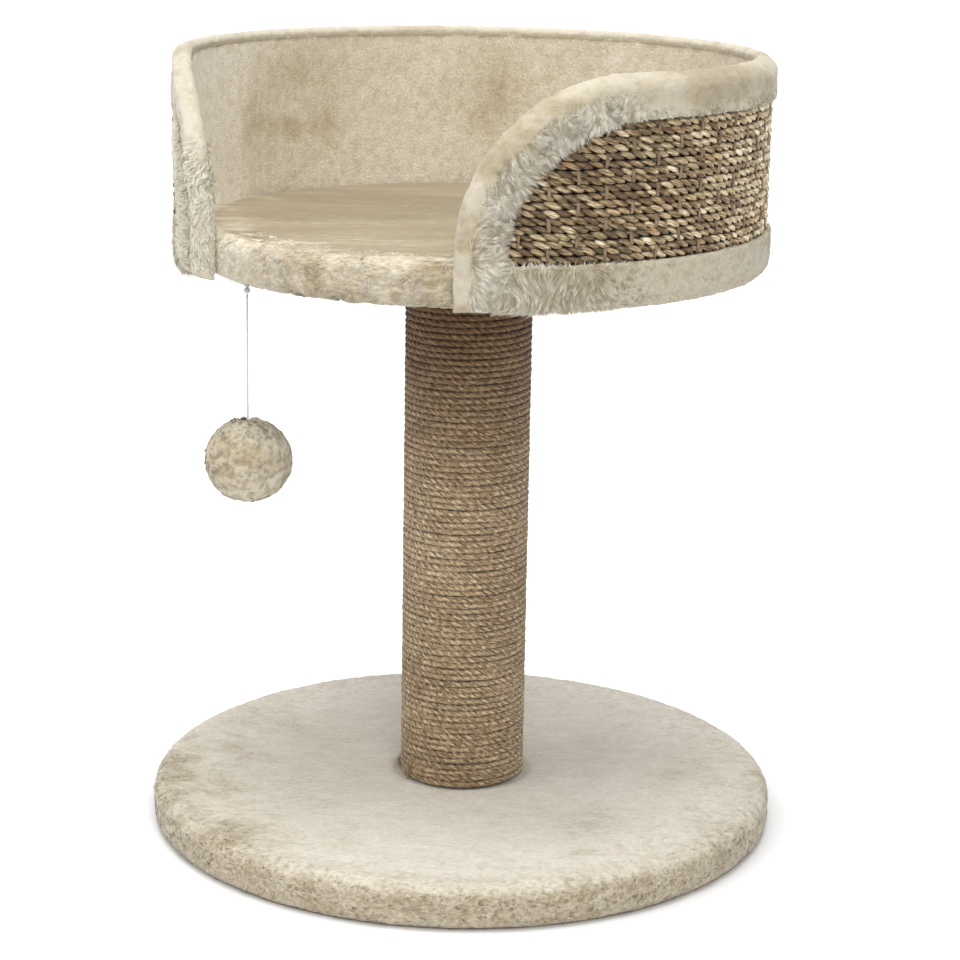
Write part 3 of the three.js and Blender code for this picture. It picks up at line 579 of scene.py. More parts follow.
def fibres_piece(
    name, root, rise, lean, length, width, tone, bends=1, tip_pull=None, body="stand", own=0.45,
):
    """Tapered hairs of three sides, with a ring of three points at each bend and one at the tip. At the
    share t of its length, a hair's middle is at its root, plus t (1 - t) of its length halfway between
    rise and lean, plus t squared of its length along lean and of tip_pull. Its map is its tone across
    and the way from root to tip upwards. Light falls on it as on the skin below, with own of its own
    roundness, so that the pile looks soft."""
    side = unit(np.cross(lean, rise))
    flat = unit(np.cross(side, lean))
    pull = np.zeros_like(root) if tip_pull is None else tip_pull
    count = len(root)
    length, width, tone = (np.broadcast_to(x, count)[:, None] for x in (length, width, tone))

    def middle(t):
        """The middle of every hair at the share t of its length."""
        return root + length * (t * (1 - t) * unit(rise + lean) + t * t * lean) + t * t * pull
    rings, normals = [], []
    for t in np.arange(bends) / bends:
        half_width = width / 2 * (1 - HAIR_TAPER * t)
        for way_out in (-side, side, flat * HAIR_RIDGE):
            rings.append(middle(t) + way_out * half_width)
            normals.append(unit(unit(rise) + own * way_out))
    points = np.stack([*rings, middle(1.0)], axis=1)
    normals = np.stack([*normals, unit(unit(rise) + own * lean)], axis=1).reshape(-1, 3)
    tip = 3 * bends
    top = tip - 3
    root_face = (0, 1, 2)
    walls = [
        (ring + b, ring + a, ring + 3 + a, ring + 3 + b)
        for ring in range(0, top, 3) for a, b in ((0, 1), (1, 2), (2, 0))
    ]
    tips = [(top + 1, top, tip), (top + 2, top + 1, tip), (top, top + 2, tip)]

    def corner_map(face):
        """The map of one face of every hair: a little aside for each side, and up with the rings."""
        aside = [(-0.003, 0.003, 0.0)[corner % 3] if corner < tip else 0 for corner in face]
        up = [min(0.985, 0.015 + 0.97 * (corner // 3) / bends) for corner in face]
        if face == root_face:
            up[2] += 0.02
        across = tone * 0.96 + 0.02 + np.array(aside)
        return np.stack(np.broadcast_arrays(across, np.array(up)), axis=2)
    kinds = [kind for kind in (walls, tips, [root_face]) if kind]
    start = np.arange(count)[:, None] * (tip + 1)
    return mesh_piece(
        name, points.reshape(-1, 3),
        [np.concatenate([start + np.array(face) for face in kind]) for kind in kinds],
        np.concatenate([corner_map(face).reshape(-1, 2) for kind in kinds for face in kind]), body, normals,
    )


def board_rows(radius, top, bottom, start, end):
    """The hidden side of a skin round a board: rows from start over its top, down its edge and back
    under it to end, with both edges chamfered."""
    inside = radius - BOARD_CHAMFER
    return np.concatenate([
        line((start, top), (inside, top), 0.03),
        line((inside, top), (radius, top - BOARD_CHAMFER), 0.004),
        line((radius, top - BOARD_CHAMFER), (radius, bottom + BOARD_CHAMFER), 0.02),
        line((radius, bottom + BOARD_CHAMFER), (inside, bottom), 0.004),
        line((inside, bottom), (end, bottom), 0.02),
    ])


base_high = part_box("base_cover")[1]
board_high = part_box("base_board")[1]
rope_low, rope_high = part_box("rope_winding")
base_radius, base_top = base_high.y, base_high.z
underlay_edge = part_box("base_underlay")[1].y + SKIN_GAP
foot_radius = rope_high.y + SKIN_GAP
foot_seat = base_top - BASE_PRESS
top_start = base_radius - BASE_TOP_ROUND
bottom_start = base_radius - BASE_BOTTOM_ROUND
top_inner = base_radius - BASE_EDGE_BAND
base_rows = np.concatenate([
    line((underlay_edge, 0), (bottom_start, 0), 0.004),
    bow((bottom_start, BASE_BOTTOM_ROUND), (BASE_BOTTOM_ROUND,) * 2, -90, 0, 0.001, 0.7),
    line((base_radius, BASE_BOTTOM_ROUND), (base_radius, base_top - BASE_TOP_ROUND), 0.0010, 1),
    bow((top_start, base_top - BASE_TOP_ROUND), (BASE_TOP_ROUND,) * 2, 0, 90, 0.0010, 1),
    line((top_start, base_top), (top_inner, base_top), 0.0016, 0.7),
    line((top_inner, base_top), (foot_radius + 0.005, base_top), 0.0035, 0.0),
    line((foot_radius + 0.005, base_top), (foot_radius, foot_seat), 0.001, 0.3),
    line((foot_radius, foot_seat), (BOLT_HOLE, foot_seat), 0.012),
    board_rows(
        board_high.y + SKIN_GAP, board_high.z + SKIN_GAP, BASE_UNDER_PLUSH, BOLT_HOLE, underlay_edge,
    ),
])
base_angle = np.arange(BASE_COLUMNS) * 2 * math.pi / BASE_COLUMNS
base_grid = around(base_rows[:, None, 0], base_angle[None, :], base_rows[:, None, 1])
base_fluff = np.repeat(base_rows[:, 2:], BASE_COLUMNS, axis=1)
fade_in = smooth_step(top_inner, top_inner + 0.02, base_rows[:, :1])
base_fluff = np.where(base_rows[:, 1:2] >= base_top - 1e-6, base_fluff * fade_in, base_fluff)


def brush_and_painted_light_ways(points):
    """How far points lie across the way that the boards' pile is brushed, and how far along it, away from
    the camera, which the painted light follows: x and y turned by the camera's angle round the post."""
    x, y = points[..., 0], points[..., 1]
    cosine, sine = math.cos(BRUSH_AND_PAINTED_LIGHT_ANGLE), math.sin(BRUSH_AND_PAINTED_LIGHT_ANGLE)
    return x * cosine + y * sine, y * cosine - x * sine


def angle_round(points):
    """The angle of points round the post."""
    return np.arctan2(points[..., 0], -points[..., 1])


def base_nap(points):
    """The base's nap: pale and even round the post, patchy towards the edge, and tan in a few places that
    are brushed the other way. Painted light and shade are added: paler towards the back, a pale spot
    beside the post, and darker down the board's edge."""
    x, y = points[..., 0], points[..., 1]
    radius = np.linalg.norm(points[..., :2], axis=-1)
    patchy = smooth_step(0.10, 0.17, radius)
    even = 0.66 + 0.16 * nap(points, 0.05, 14)
    value = 0.84 * nap(points, 0.062, 11, 0.85) * patchy + (1 - patchy) * even
    # Painted sheen: paler towards the back, away from the camera; painted shade: less pale at the front
    # edge.
    back = brush_and_painted_light_ways(points)[1]
    near_edge = smooth_step(0.172, 0.194, radius) * (back < 0)
    value = value + 0.30 * smooth_step(-0.02, 0.15, back) - 0.25 * near_edge
    # Painted light on the bed's shadow beside the post.
    pale_x, pale_y, pale_width = PAINTED_LIGHT_PLACE
    value = value + 0.35 * np.exp(-((x - pale_x) ** 2 + (y - pale_y) ** 2) / pale_width ** 2)
    mottle = 0.4 + 0.9 * cloud(points, 0.011, 15)
    for patch_x, patch_y, width in BRUSHED_PATCHES:
        away_from = (x - patch_x) ** 2 + 0.6 * (y - patch_y) ** 2
        value = value - 0.45 * mottle * np.exp(-away_from / width ** 2)
    # Painted shade: the board's edge is darker towards the bottom, most on the camera's side.
    low_share = 0.32 - 0.30 * np.cos(angle_round(points) - BRUSH_AND_PAINTED_LIGHT_ANGLE)
    top_share = smooth_step(0.0200, base_top, points[..., 2])
    return np.clip(value, 0, 1) * (low_share + (1 - low_share) * top_share)


base_skin, base_raised = skin_piece(
    "base_plush", base_grid, base_fluff, base_nap(base_grid), TUFT_RELIEF, 21,
)
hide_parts("base_cover")

base_down, base_along, base_out = directions(base_grid, True, True)
from_foot = base_rows[:, :1] - foot_radius
thinning = np.maximum(
    smooth_step(top_inner, top_start, base_rows[:, :1]), smooth_step(0.012, 0.006, from_foot),
)
base_roots, (root_out, root_down, root_along, thick) = scattered(
    base_raised, (base_out, base_down, base_along, np.repeat(thinning, BASE_COLUMNS, 1)),
    base_fluff * thinning ** 2, BASE_PILE_COUNT, 31,
)


def combed(out, down, along, swirl, lift):
    """The way that hairs lie: up the skin, turned along it by the angle swirl, and lifted off it."""
    swirl = swirl[:, None]
    return unit(-down * np.cos(swirl) + along * np.sin(swirl) + lift * out)


rng = np.random.default_rng(32)
base_swirl = 5.0 * (cloud(base_roots, 0.022, 33) - 0.5)
base_lean = combed(root_out, root_down, root_along, base_swirl, 0.35)
_, tuft_tone, to_tuft = tufts(base_roots + 0.5 * BASE_PILE_LENGTH * base_lean, TUFT, 34)
base_length = BASE_PILE_LENGTH * (0.5 + 0.4 * rng.random(BASE_PILE_COUNT)) * (0.5 + 0.5 * thick)
base_tone = 1.1 * base_nap(base_roots) + 0.08 * tuft_tone + 0.3 * rng.random(BASE_PILE_COUNT) - 0.14
base_pile = fibres_piece(
    "base_pile", base_roots - PILE_ROOT * root_out, root_out, base_lean, base_length, PILE_WIDTH,
    np.clip(base_tone, 0, 1), tip_pull=0.3 * to_tuft,
)


def kept_value(tree, key):
    """A value that a piece keeps at its points."""
    return node(tree, "ShaderNodeAttribute", attribute_name=key).outputs["Fac"]


def scaled_sum(tree, value, factor, term):
    """A value times a factor, plus a term."""
    return node(tree, "ShaderNodeMath", {0: value, 1: factor, 2: term}, operation="MULTIPLY_ADD").outputs[0]


def share_between(tree, value, low, high, **settings):
    """How far a value is from low to high, 0 to 1."""
    return node(tree, "ShaderNodeMapRange", {
        "Value": value, "From Min": low, "From Max": high,
    }, **settings).outputs[0]


def plush_skin_material(
    name, dark, middle, pale, crease, grain_size, stretch=(1, 1, 1), turn=0.0, speckle=0.7,
):
    """Short plush: its colour follows the nap, with a fine grain, and is darkened in its hollows by the
    colour crease, a painted shade. Speckle is how much the fine grain changes it, beside the nap."""
    made, tree, shader = new_material(name, 0.92, sheen=0.25)
    fine = grain_value(tree, grain_size, stretch, turn)
    broad = grain_value(tree, grain_size * 6, stretch, turn)
    tone = scaled_sum(tree, broad, speckle / 2, scaled_sum(tree, fine, speckle, kept_value(tree, "nap")))
    place = share_between(tree, tone, 0.75 * speckle - 0.3, 0.75 * speckle + 1.3)
    colour = ramp(tree, place, (0.0, srgb(*dark)), (0.5, srgb(*middle)), (1.0, srgb(*pale)))
    # Painted shade in the hollows of the pile's relief.
    shade = ramp(tree, kept_value(tree, "tuft"), (0.0, srgb(*crease)), (0.55, WHITE))
    paint(tree, shader, mixed(tree, 1.0, colour, shade, "MULTIPLY"))
    bumped(tree, shader, fine, grain_size * 0.9, 0.7)
    return made


def fibre_material(name, root, dark, pale, sheen=0.1):
    """Hairs: their map gives each its tone, and its colour is multiplied by root's at its root, a painted
    shade deep in the pile.
    """
    made, tree, shader = new_material(name, 0.85, sheen=sheen)
    place = node(tree, "ShaderNodeSeparateXYZ", {
        0: node(tree, "ShaderNodeUVMap", uv_map="OFBake").outputs[0],
    })
    tip = ramp(tree, place.outputs[0], (0.05, srgb(*dark)), (0.95, srgb(*pale)))
    shade = ramp(tree, place.outputs[1], (0.0, srgb(*root)), (0.6, WHITE))
    paint(tree, shader, mixed(tree, 1.0, tip, shade, "MULTIPLY"))
    return made


base_material = plush_skin_material(
    "base_plush", (158, 142, 111), (215, 206, 188), (242, 236, 225), (240, 237, 230), 0.0016,
    (2.0, 1, 1), -BRUSH_AND_PAINTED_LIGHT_ANGLE, speckle=1.4,
)
short_pile_material = fibre_material("short_pile", (238, 234, 226), (120, 105, 77), (226, 218, 202))
dress(base_material, base_skin)
dress(short_pile_material, base_pile)

# ---------- Post ----------
# A card tube wound tightly from foot to top with three-strand rope of natural fibre, glued down
# and stapled at both ends. The rope runs on without a break, about 4 mm a turn.
ROPE_PITCH = 0.0040
ROPE_WIDTH = 0.0041
ROPE_LAY = 0.0150  # along the rope, for one turn of its three strands
ROPE_FACES = 6  # across each strand
ROPE_SIDES = np.radians([-108, -66, -22, 22, 66, 108])
STRAND_HEIGHTS = (0.84, 0.93, 0.985, 1.0, 0.985, 0.93)  # of its radius, from one crease to the next
# Painted shade: the colour darkens towards each strand's creases, and round the section into the grooves.
STRAND_LIGHT = (0.42, 0.80, 1.0, 1.0, 1.0, 0.82)
SIDE_RADII = (1.0, 1.08, 1.02, 1.02, 1.08, 1.0)  # pressed against its neighbours
SIDE_LIGHT = (0.0, 0.62, 1.0, 1.0, 0.62, 0.0)  # round the section, from one groove to the next
ROPE_SHADE_TOP, ROPE_SHADE_END = 0.355, 0.20  # painted shade under the bed: the rope grows darker and browner from the lower level to the upper
ROPE_HALVES = 2
FRAYED_HAIRS = 130
ROPE_HAIRS = 3200
HAIR_WIDTH = 0.00016
ROPE_START_ANGLE = math.radians(-50)
ROPE_PROUD = 0.0001  # how far its strands stand out past its plain width

rope_core = rope_high.y - ROPE_WIDTH / 2 + ROPE_PROUD
rope_start = rope_low.z + ROPE_WIDTH / 2
rope_turns = (rope_high.z - rope_low.z - ROPE_WIDTH) / ROPE_PITCH
turn_length = 2 * math.pi * rope_core
crease_step = ROPE_LAY / 3 / ROPE_FACES
rope_columns = int(rope_turns * turn_length / crease_step)


def rope_part(name, first, last):
    """Turns of rope as a closed tube. Its columns follow the strands: a point's way along the rope is
    its column's, less the section angle times the lay over a full turn, so that each crease is an
    edge."""
    column = np.arange(first, last + 1)
    way = column[:, None] * crease_step - ROPE_SIDES[None, :] * ROPE_LAY / (2 * math.pi)
    rows = np.stack([way, np.zeros_like(way), np.zeros_like(way)], axis=2)
    bulge = 1 + 0.14 * (cloud(rows, 0.011, 41) - 0.5) + 0.18 * (cloud(rows, 0.0036, 42) - 0.5)
    radius = ROPE_WIDTH / 2 * np.array(STRAND_HEIGHTS)[column % ROPE_FACES][:, None] * bulge
    radius = radius * np.array(SIDE_RADII)
    sag = 0.0004 * (cloud(rows, 0.035, 43) - 0.5)
    turns = way / turn_length
    grid = around(
        rope_core + radius * np.cos(ROPE_SIDES), ROPE_START_ANGLE + 2 * math.pi * turns,
        rope_start + turns * ROPE_PITCH + radius * np.sin(ROPE_SIDES) + sag,
    )
    piece = tube_piece(name, grid[:, ::-1])
    # Here and there fibres close the groove between two turns, and cover a crease, where the painted shade
    # is weaker.
    closed = 0.35 * smooth_step(0.45, 0.75, cloud(grid, 0.0042, 44))
    covered = 0.6 * smooth_step(0.40, 0.7, cloud(rows, 0.009, 45))
    side = np.array(SIDE_LIGHT) + (1 - np.array(SIDE_LIGHT)) * closed
    strand = np.array(STRAND_LIGHT)[column % ROPE_FACES][:, None]
    high = ((strand + (1 - strand) * covered) * side)[:, ::-1].ravel()
    keep_values(piece, high=np.append(high, [1, 1]))
    return piece


rope_breaks = np.linspace(0, rope_columns, ROPE_HALVES + 1).astype(int)
rope_parts = [
    rope_part(f"rope_turns_{i + 1}", rope_breaks[i], rope_breaks[i + 1]) for i in range(ROPE_HALVES)
]
# Streaks: fine lines along a fibre or a stalk, from the piece's own map.
streaks = bpy.data.node_groups.new("streaks", "ShaderNodeTree")
streaks.interface.new_socket("Counts", in_out="INPUT", socket_type="NodeSocketVector")
streaks.interface.new_socket("Value", in_out="OUTPUT", socket_type="NodeSocketFloat")
streaks_in = node(streaks, "NodeGroupInput")
on_map = node(streaks, "ShaderNodeVectorMath", {
    0: node(streaks, "ShaderNodeUVMap", uv_map="OFBake").outputs[0], 1: streaks_in.outputs["Counts"],
}, operation="MULTIPLY")
streak_noise = node(streaks, "ShaderNodeTexNoise", {
    "Vector": on_map.outputs[0], "Scale": 1.0, "Detail": 1.5, "Roughness": 0.55,
})
node(streaks, "NodeGroupOutput", {"Value": streak_noise.outputs[0]})


def streak_value(tree, across, up):
    """The streaks group, placed in a material with how many streaks its map has each way."""
    placed = node(tree, "ShaderNodeGroup", node_tree=streaks)
    placed.inputs["Counts"].default_value = (across, up, 0.0)
    return placed.outputs["Value"]


rope_material, tree, shader = new_material("natural_rope", 0.85, sheen=0.15)
strand_tone = grain_value(tree, 0.0045, (1, 1, 0.7))
streak_tone = streak_value(tree, 4.0, rope_columns / ROPE_HALVES / ROPE_FACES * 3)
batch_tone = grain_value(tree, 0.07, (1, 1, 0.5))
fibre_tone = scaled_sum(tree, streak_tone, 1.8, -0.4)
rope_tone = scaled_sum(tree, batch_tone, 0.45, scaled_sum(tree, strand_tone, 0.5, fibre_tone))
# Painted shade in the creases and grooves multiplies the colour by a dark brown.
rope_colour = ramp(
    tree, share_between(tree, rope_tone, 0.6, 1.35),
    (0.0, srgb(110, 84, 52)), (0.45, srgb(166, 141, 105)), (1.0, srgb(232, 212, 178)),
    high=kept_value(tree, "high"), low=srgb(64, 42, 22),
)
rope_level = node(tree, "ShaderNodeSeparateXYZ", {
    0: node(tree, "ShaderNodeTexCoord").outputs["Object"],
}).outputs["Z"]
# Painted shade under the bed: the colour is multiplied by a brown towards the top.
painted_bed_shade = share_between(
    tree, rope_level, ROPE_SHADE_END, ROPE_SHADE_TOP, interpolation_type="SMOOTHSTEP",
)
paint(tree, shader, mixed(tree, painted_bed_shade, rope_colour, srgb(170, 142, 110), "MULTIPLY"))
bumped(tree, shader, fibre_tone, 0.0006, 0.8)
dress(rope_material, *rope_parts)
for part in rope_parts:
    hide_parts("rope_winding")

# Loose hairs stand off the rope all over, and its cut end at the foot is frayed.
rng = np.random.default_rng(46)
hair_angle = rng.random(ROPE_HAIRS) * 2 * math.pi
hair_level = rope_low.z + rng.random(ROPE_HAIRS) * (rope_high.z - rope_low.z)
foot_angle = ROPE_START_ANGLE - 0.15 + 0.045 * rng.normal(size=FRAYED_HAIRS)
foot_level = rope_low.z + 0.0026 + 0.0034 * rng.random(FRAYED_HAIRS)
hair_angle = np.concatenate([hair_angle, foot_angle])
hair_level = np.concatenate([hair_level, foot_level])
frayed = np.arange(len(hair_angle)) >= ROPE_HAIRS
hair_out = around(1.0, hair_angle, 0.0)
hair_side = around(1.0, hair_angle + math.pi / 2, 0.0)
spread = rng.normal(size=(len(hair_angle), 2))
hair_lean = unit(
    hair_out * (0.35 + 0.5 * rng.random(len(hair_angle)))[:, None] + hair_side * spread[:, :1]
    + np.array([0.0, 0.0, 0.45]) * spread[:, 1:],
)
hair_root = around(rope_high.y - np.where(frayed, 0.0002, 0.0009), hair_angle, hair_level)
hair_length = np.where(frayed, 0.0036, 0.0024) * (0.4 + 0.8 * rng.random(len(hair_angle)))
hair_tone = np.where(frayed, 0.0, 0.35) + np.where(frayed, 0.25, 0.65) * rng.random(len(hair_angle))
rope_hairs = fibres_piece(
    "rope_hairs", hair_root, hair_out, hair_lean, hair_length, HAIR_WIDTH * np.where(frayed, 1.6, 1.0),
    hair_tone,
)
dress(fibre_material("rope_hair", (225, 215, 200), (166, 112, 72), (226, 206, 172)), rope_hairs)

# ---------- Boards, tubes and fixings ----------
# What is inside or below: particle board discs, a spiral-wound card tube, felt under both boards,
# a bent fibreboard panel, zinc-plated steel fixings, and the wadding in the ball.
board_material, tree, shader = new_material("particle_board", 0.8)
chips = node(tree, "ShaderNodeTexVoronoi", {
    "Vector": node(tree, "ShaderNodeTexCoord").outputs["Object"], "Scale": 320.0,
})
paint(tree, shader, ramp(
    tree, chips.outputs["Color"], (0.1, srgb(158, 122, 82)), (0.9, srgb(206, 176, 134)),
))
bumped(tree, shader, grain_value(tree, 0.002), 0.0002)
dress(board_material, "base_board", "tray_board", "lower_plug", "upper_plug")
dress(two_tone("fibreboard", 0.7, 0.0012, (74, 52, 34), (104, 78, 54), stops=(0.35, 0.65)), "wall_panel")
dress(
    two_tone("grey_card", 0.85, 0.003, (142, 128, 108), (168, 154, 132), (1, 1, 0.3), (0.35, 0.65)),
    "post_tube",
)
dress(
    two_tone("thin_felt", 0.95, 0.0008, (52, 52, 54), (84, 84, 86), (3, 1, 1), relief=0.0003, sheen=0.2),
    "base_underlay", "tray_lining",
)
dress(
    two_tone("zinc_steel", 0.38, 0.0015, (158, 160, 162), (196, 197, 198), metallic=1.0),
    "base_bolt", "base_washer", "lower_tee_nut", "upper_tee_nut", "top_stud", "tray_tee_nut",
    "toy_staple", *(f"{plug}_plug_nail_{i}" for plug in ("lower", "upper") for i in (1, 2, 3)),
    *(f"wall_screw_{i}" for i in range(1, 8)),
)
dress(
    two_tone("bronzed_staple", 0.6, 0.0012, (132, 104, 72), (170, 142, 106), metallic=0.2),
    "rope_staple_lower", "rope_staple_upper",
)
dress(two_tone("wadding", 0.95, 0.004, (222, 222, 220), (244, 244, 242)), "ball_core")

# ---------- Bed floor ----------
# A second board in plush, face down on the post. The plush goes over its edge and a little way
# under it, and its front edge shows in the opening, where the pile stands in curly tufts.
TRAY_ROUND = 0.009
TRAY_OPEN = math.radians(34)  # half the angle that is modelled finely
TRAY_PILE_COUNT = 26000
TRAY_PILE_LENGTH = 0.0034
TRAY_RELIEF = 0.0013
TRAY_TUFT = 0.0052
TRAY_OPEN_COLUMNS, TRAY_BACK_COLUMNS = 230, 260
TRAY_UNDER_PLUSH = 0.0012
TRAY_TOP_PILE = 0.02  # how far in from the edge's round the hairs go on over the top
TRAY_PILE_ROOT = 0.0006
POLE = 0.0008  # radius of the hole at the middle, which a fan closes

tray_low, tray_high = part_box("tray_cover")
tray_board_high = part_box("tray_board")[1]
tray_radius, tray_top, tray_bottom = tray_high.y, tray_high.z, tray_low.z
tray_lining_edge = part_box("tray_lining")[1].y + SKIN_GAP
tray_arc = tray_radius - TRAY_ROUND
tray_rows = np.concatenate([
    board_rows(
        tray_board_high.y + SKIN_GAP, tray_board_high.z + SKIN_GAP, tray_bottom + TRAY_UNDER_PLUSH,
        POLE, tray_lining_edge,
    ),
    line((tray_lining_edge, tray_bottom), (tray_arc, tray_bottom), 0.004),
    bow((tray_arc, tray_bottom + TRAY_ROUND), (TRAY_ROUND,) * 2, -90, 0, 0.0009, 1),
    line((tray_radius, tray_bottom + TRAY_ROUND), (tray_radius, tray_top - TRAY_ROUND), 0.0009, 1),
    bow((tray_arc, tray_top - TRAY_ROUND), (TRAY_ROUND,) * 2, 0, 90, 0.0009, 1),
    line((tray_arc, tray_top), (tray_arc - TRAY_TOP_PILE, tray_top), 0.0015, 0.5),
    line((tray_arc - TRAY_TOP_PILE, tray_top), (POLE, tray_top), 0.006),
])
tray_angle = np.concatenate([
    np.linspace(-TRAY_OPEN, TRAY_OPEN, TRAY_OPEN_COLUMNS, endpoint=False),
    np.linspace(TRAY_OPEN, 2 * math.pi - TRAY_OPEN, TRAY_BACK_COLUMNS, endpoint=False),
])
tray_grid = around(tray_rows[:, None, 0], tray_angle[None, :], tray_rows[:, None, 1])
# Where the wall closes on it, the pile is pressed flat.
from_front = np.abs((tray_angle + math.pi) % (2 * math.pi) - math.pi)
in_opening = smooth_step(0.0, 0.05, TRAY_OPEN - from_front - 0.07)
tray_fluff = tray_rows[:, 2:] * in_opening[None, :]


def edge_nap(points):
    """The nap of the floor's front edge: pale and tan patches, paler towards its left end."""
    left = smooth_step(0.03, -0.06, points[..., 0])
    return np.clip(0.7 * nap(points * np.array([1.0, 1.0, 0.8]), 0.034, 58, 0.40) + 0.8 * left, 0, 1)


def tray_nap(points):
    """The bed floor's nap: streaks across the way it is brushed, and pale patches in a band along the front
    edge. Painted shade makes it darker towards the back and the left, under the wall."""
    x, y = points[..., 0], points[..., 1]
    radius = np.hypot(x, y)
    across_brush, back = brush_and_painted_light_ways(points)
    brush_streaks = nap(np.stack([across_brush, 4 * back, points[..., 2]], axis=-1), 0.11, 51, 0.45)
    # Painted shade: darker towards the back and the left, under the wall.
    front = smooth_step(0.08, -0.15, y - 0.35 * x)
    patches = smooth_step(0.3, 0.75, cloud(points, 0.03, 57))
    band = smooth_step(0.125, 0.152, radius) * (y < 0) * patches
    edge = smooth_step(0.158, 0.166, radius) * (y < 0)
    on_top = 0.32 * brush_streaks + 0.24 * front + 0.34 * band
    return np.clip((1 - edge) * on_top + edge * (0.5 + 0.5 * edge_nap(points)), 0, 1)


tray_skin, tray_raised = skin_piece(
    "bed_floor_plush", tray_grid, tray_fluff, tray_nap(tray_grid), TRAY_RELIEF, 52, TRAY_TUFT,
    poles=True,
)
tray_down, tray_along, tray_out = directions(tray_grid, False, True)
tray_roots, (root_out, root_down, root_along) = scattered(
    tray_raised, (tray_out, tray_down, tray_along),
    np.where(tray_rows[:, 2:] >= 1, 1.0, 0.35 * (tray_rows[:, 2:] > 0)) * in_opening[None, :],
    TRAY_PILE_COUNT, 53,
)
rng = np.random.default_rng(54)
tray_swirl = 6.5 * (cloud(tray_roots, 0.014, 55) - 0.5)
tray_lean = combed(root_out, root_down, root_along, tray_swirl, 0.22)
_, tuft_tone, to_tuft = tufts(tray_roots + 0.5 * TRAY_PILE_LENGTH * tray_lean, TRAY_TUFT, 56)
tray_length = TRAY_PILE_LENGTH * (0.55 + 0.55 * rng.random(TRAY_PILE_COUNT))
tray_tone = 0.65 * edge_nap(tray_roots) + 0.12 * tuft_tone + 0.25 * rng.random(TRAY_PILE_COUNT)
tray_pile = fibres_piece(
    "bed_floor_pile", tray_roots - TRAY_PILE_ROOT * root_out, root_out, tray_lean, tray_length, PILE_WIDTH,
    np.clip(tray_tone, 0, 1), tip_pull=0.2 * to_tuft, own=0.25,
)
floor_material = plush_skin_material(
    "bed_floor_plush", (120, 105, 75), (156, 141, 110), (232, 223, 202), (232, 227, 215), 0.0016,
    (4.0, 1, 1), -BRUSH_AND_PAINTED_LIGHT_ANGLE, speckle=1.2,
)
dress(floor_material, tray_skin)
dress(fibre_material("edge_pile", (250, 248, 243), (178, 161, 128), (252, 245, 230)), tray_pile)
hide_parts("tray_cover")

# ---------- Bed wall ----------
# A thin fibreboard panel, cut flat with two rounded top corners, bent round the tray and screwed
# to its edge. Plush lines the inside. Way s runs along the flat sheet, from -Y.
OPENING_HALF_ANGLE = math.radians(29)
CORNER_RADIUS = 0.100
RIM_CAP = 0.005  # how far the trim's edge stands out past the panel's
LINING_PILE = 0.0035
LINING_STEP = 0.0014
LINING_RELIEF = 0.0002
SMEARS = (  # of the lining's nap: angle, level, half width and half height
    (math.radians(-94.0), 0.446, 0.011, 0.026), (math.radians(-90.0), 0.436, 0.010, 0.024),
    (math.radians(-104), 0.430, 0.018, 0.008), (math.radians(-114), 0.430, 0.011, 0.014),
    (math.radians(-104), 0.465, 0.030, 0.014), (math.radians(-152), 0.450, 0.020, 0.024),
)

lining_low, lining_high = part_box("wall_lining")
rim_low, rim_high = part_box("rim_trim")
lining_outer = lining_high.y
lining_inner = lining_outer - LINING_PILE
panel_inner, panel_outer = lining_outer + SKIN_GAP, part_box("wall_panel")[1].y
mat_inner, mat_outer = panel_outer + SKIN_GAP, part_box("woven_mat")[1].y
band_inner, wall_outer = mat_outer + SKIN_GAP, rim_high.y
flat_radius = (panel_inner + panel_outer) / 2
rim_top = rim_high.z
wall_bottom = rim_low.z
corner_level = rim_top - CORNER_RADIUS
s_end = OPENING_HALF_ANGLE * flat_radius
s_middle = math.pi * flat_radius


def wall_edge(step, legs=True):
    """The wall's edge on the flat sheet: rows of s, z, and the direction (s, z) into the sheet. It goes
    up one end, round the corner, along the rim and down the other end; the corners are circles."""
    leg = np.arange(0, corner_level - wall_bottom, step) + wall_bottom
    turn = np.arange(0, math.pi / 2, step / CORNER_RADIUS)
    run = np.arange(s_end + CORNER_RADIUS, s_middle, step)
    parts = [np.stack([
        s_end + CORNER_RADIUS * (1 - np.cos(turn)), corner_level + CORNER_RADIUS * np.sin(turn),
        np.cos(turn), -np.sin(turn),
    ], axis=1), np.stack([run, np.full(len(run), rim_top), np.zeros(len(run)), -np.ones(len(run))], axis=1)]
    if legs:
        parts.insert(0, np.stack([
            np.full(len(leg), s_end), leg, np.ones(len(leg)), np.zeros(len(leg)),
        ], axis=1))
    first = np.concatenate(parts)
    second = first[::-1] * [-1, 1, -1, 1] + [2 * s_middle, 0, 0, 0]
    return np.concatenate([first, second])


lining_edge = wall_edge(LINING_STEP, legs=False)
edge_inset = RIM_CAP + SKIN_GAP
lining_s = lining_edge[:, 0] + edge_inset * lining_edge[:, 2]
lining_top = lining_edge[:, 1] + edge_inset * lining_edge[:, 3]
lining_bottom = lining_low.z
hidden_to = tray_top - 0.004
visible_rows = round((rim_top - hidden_to) / LINING_STEP)
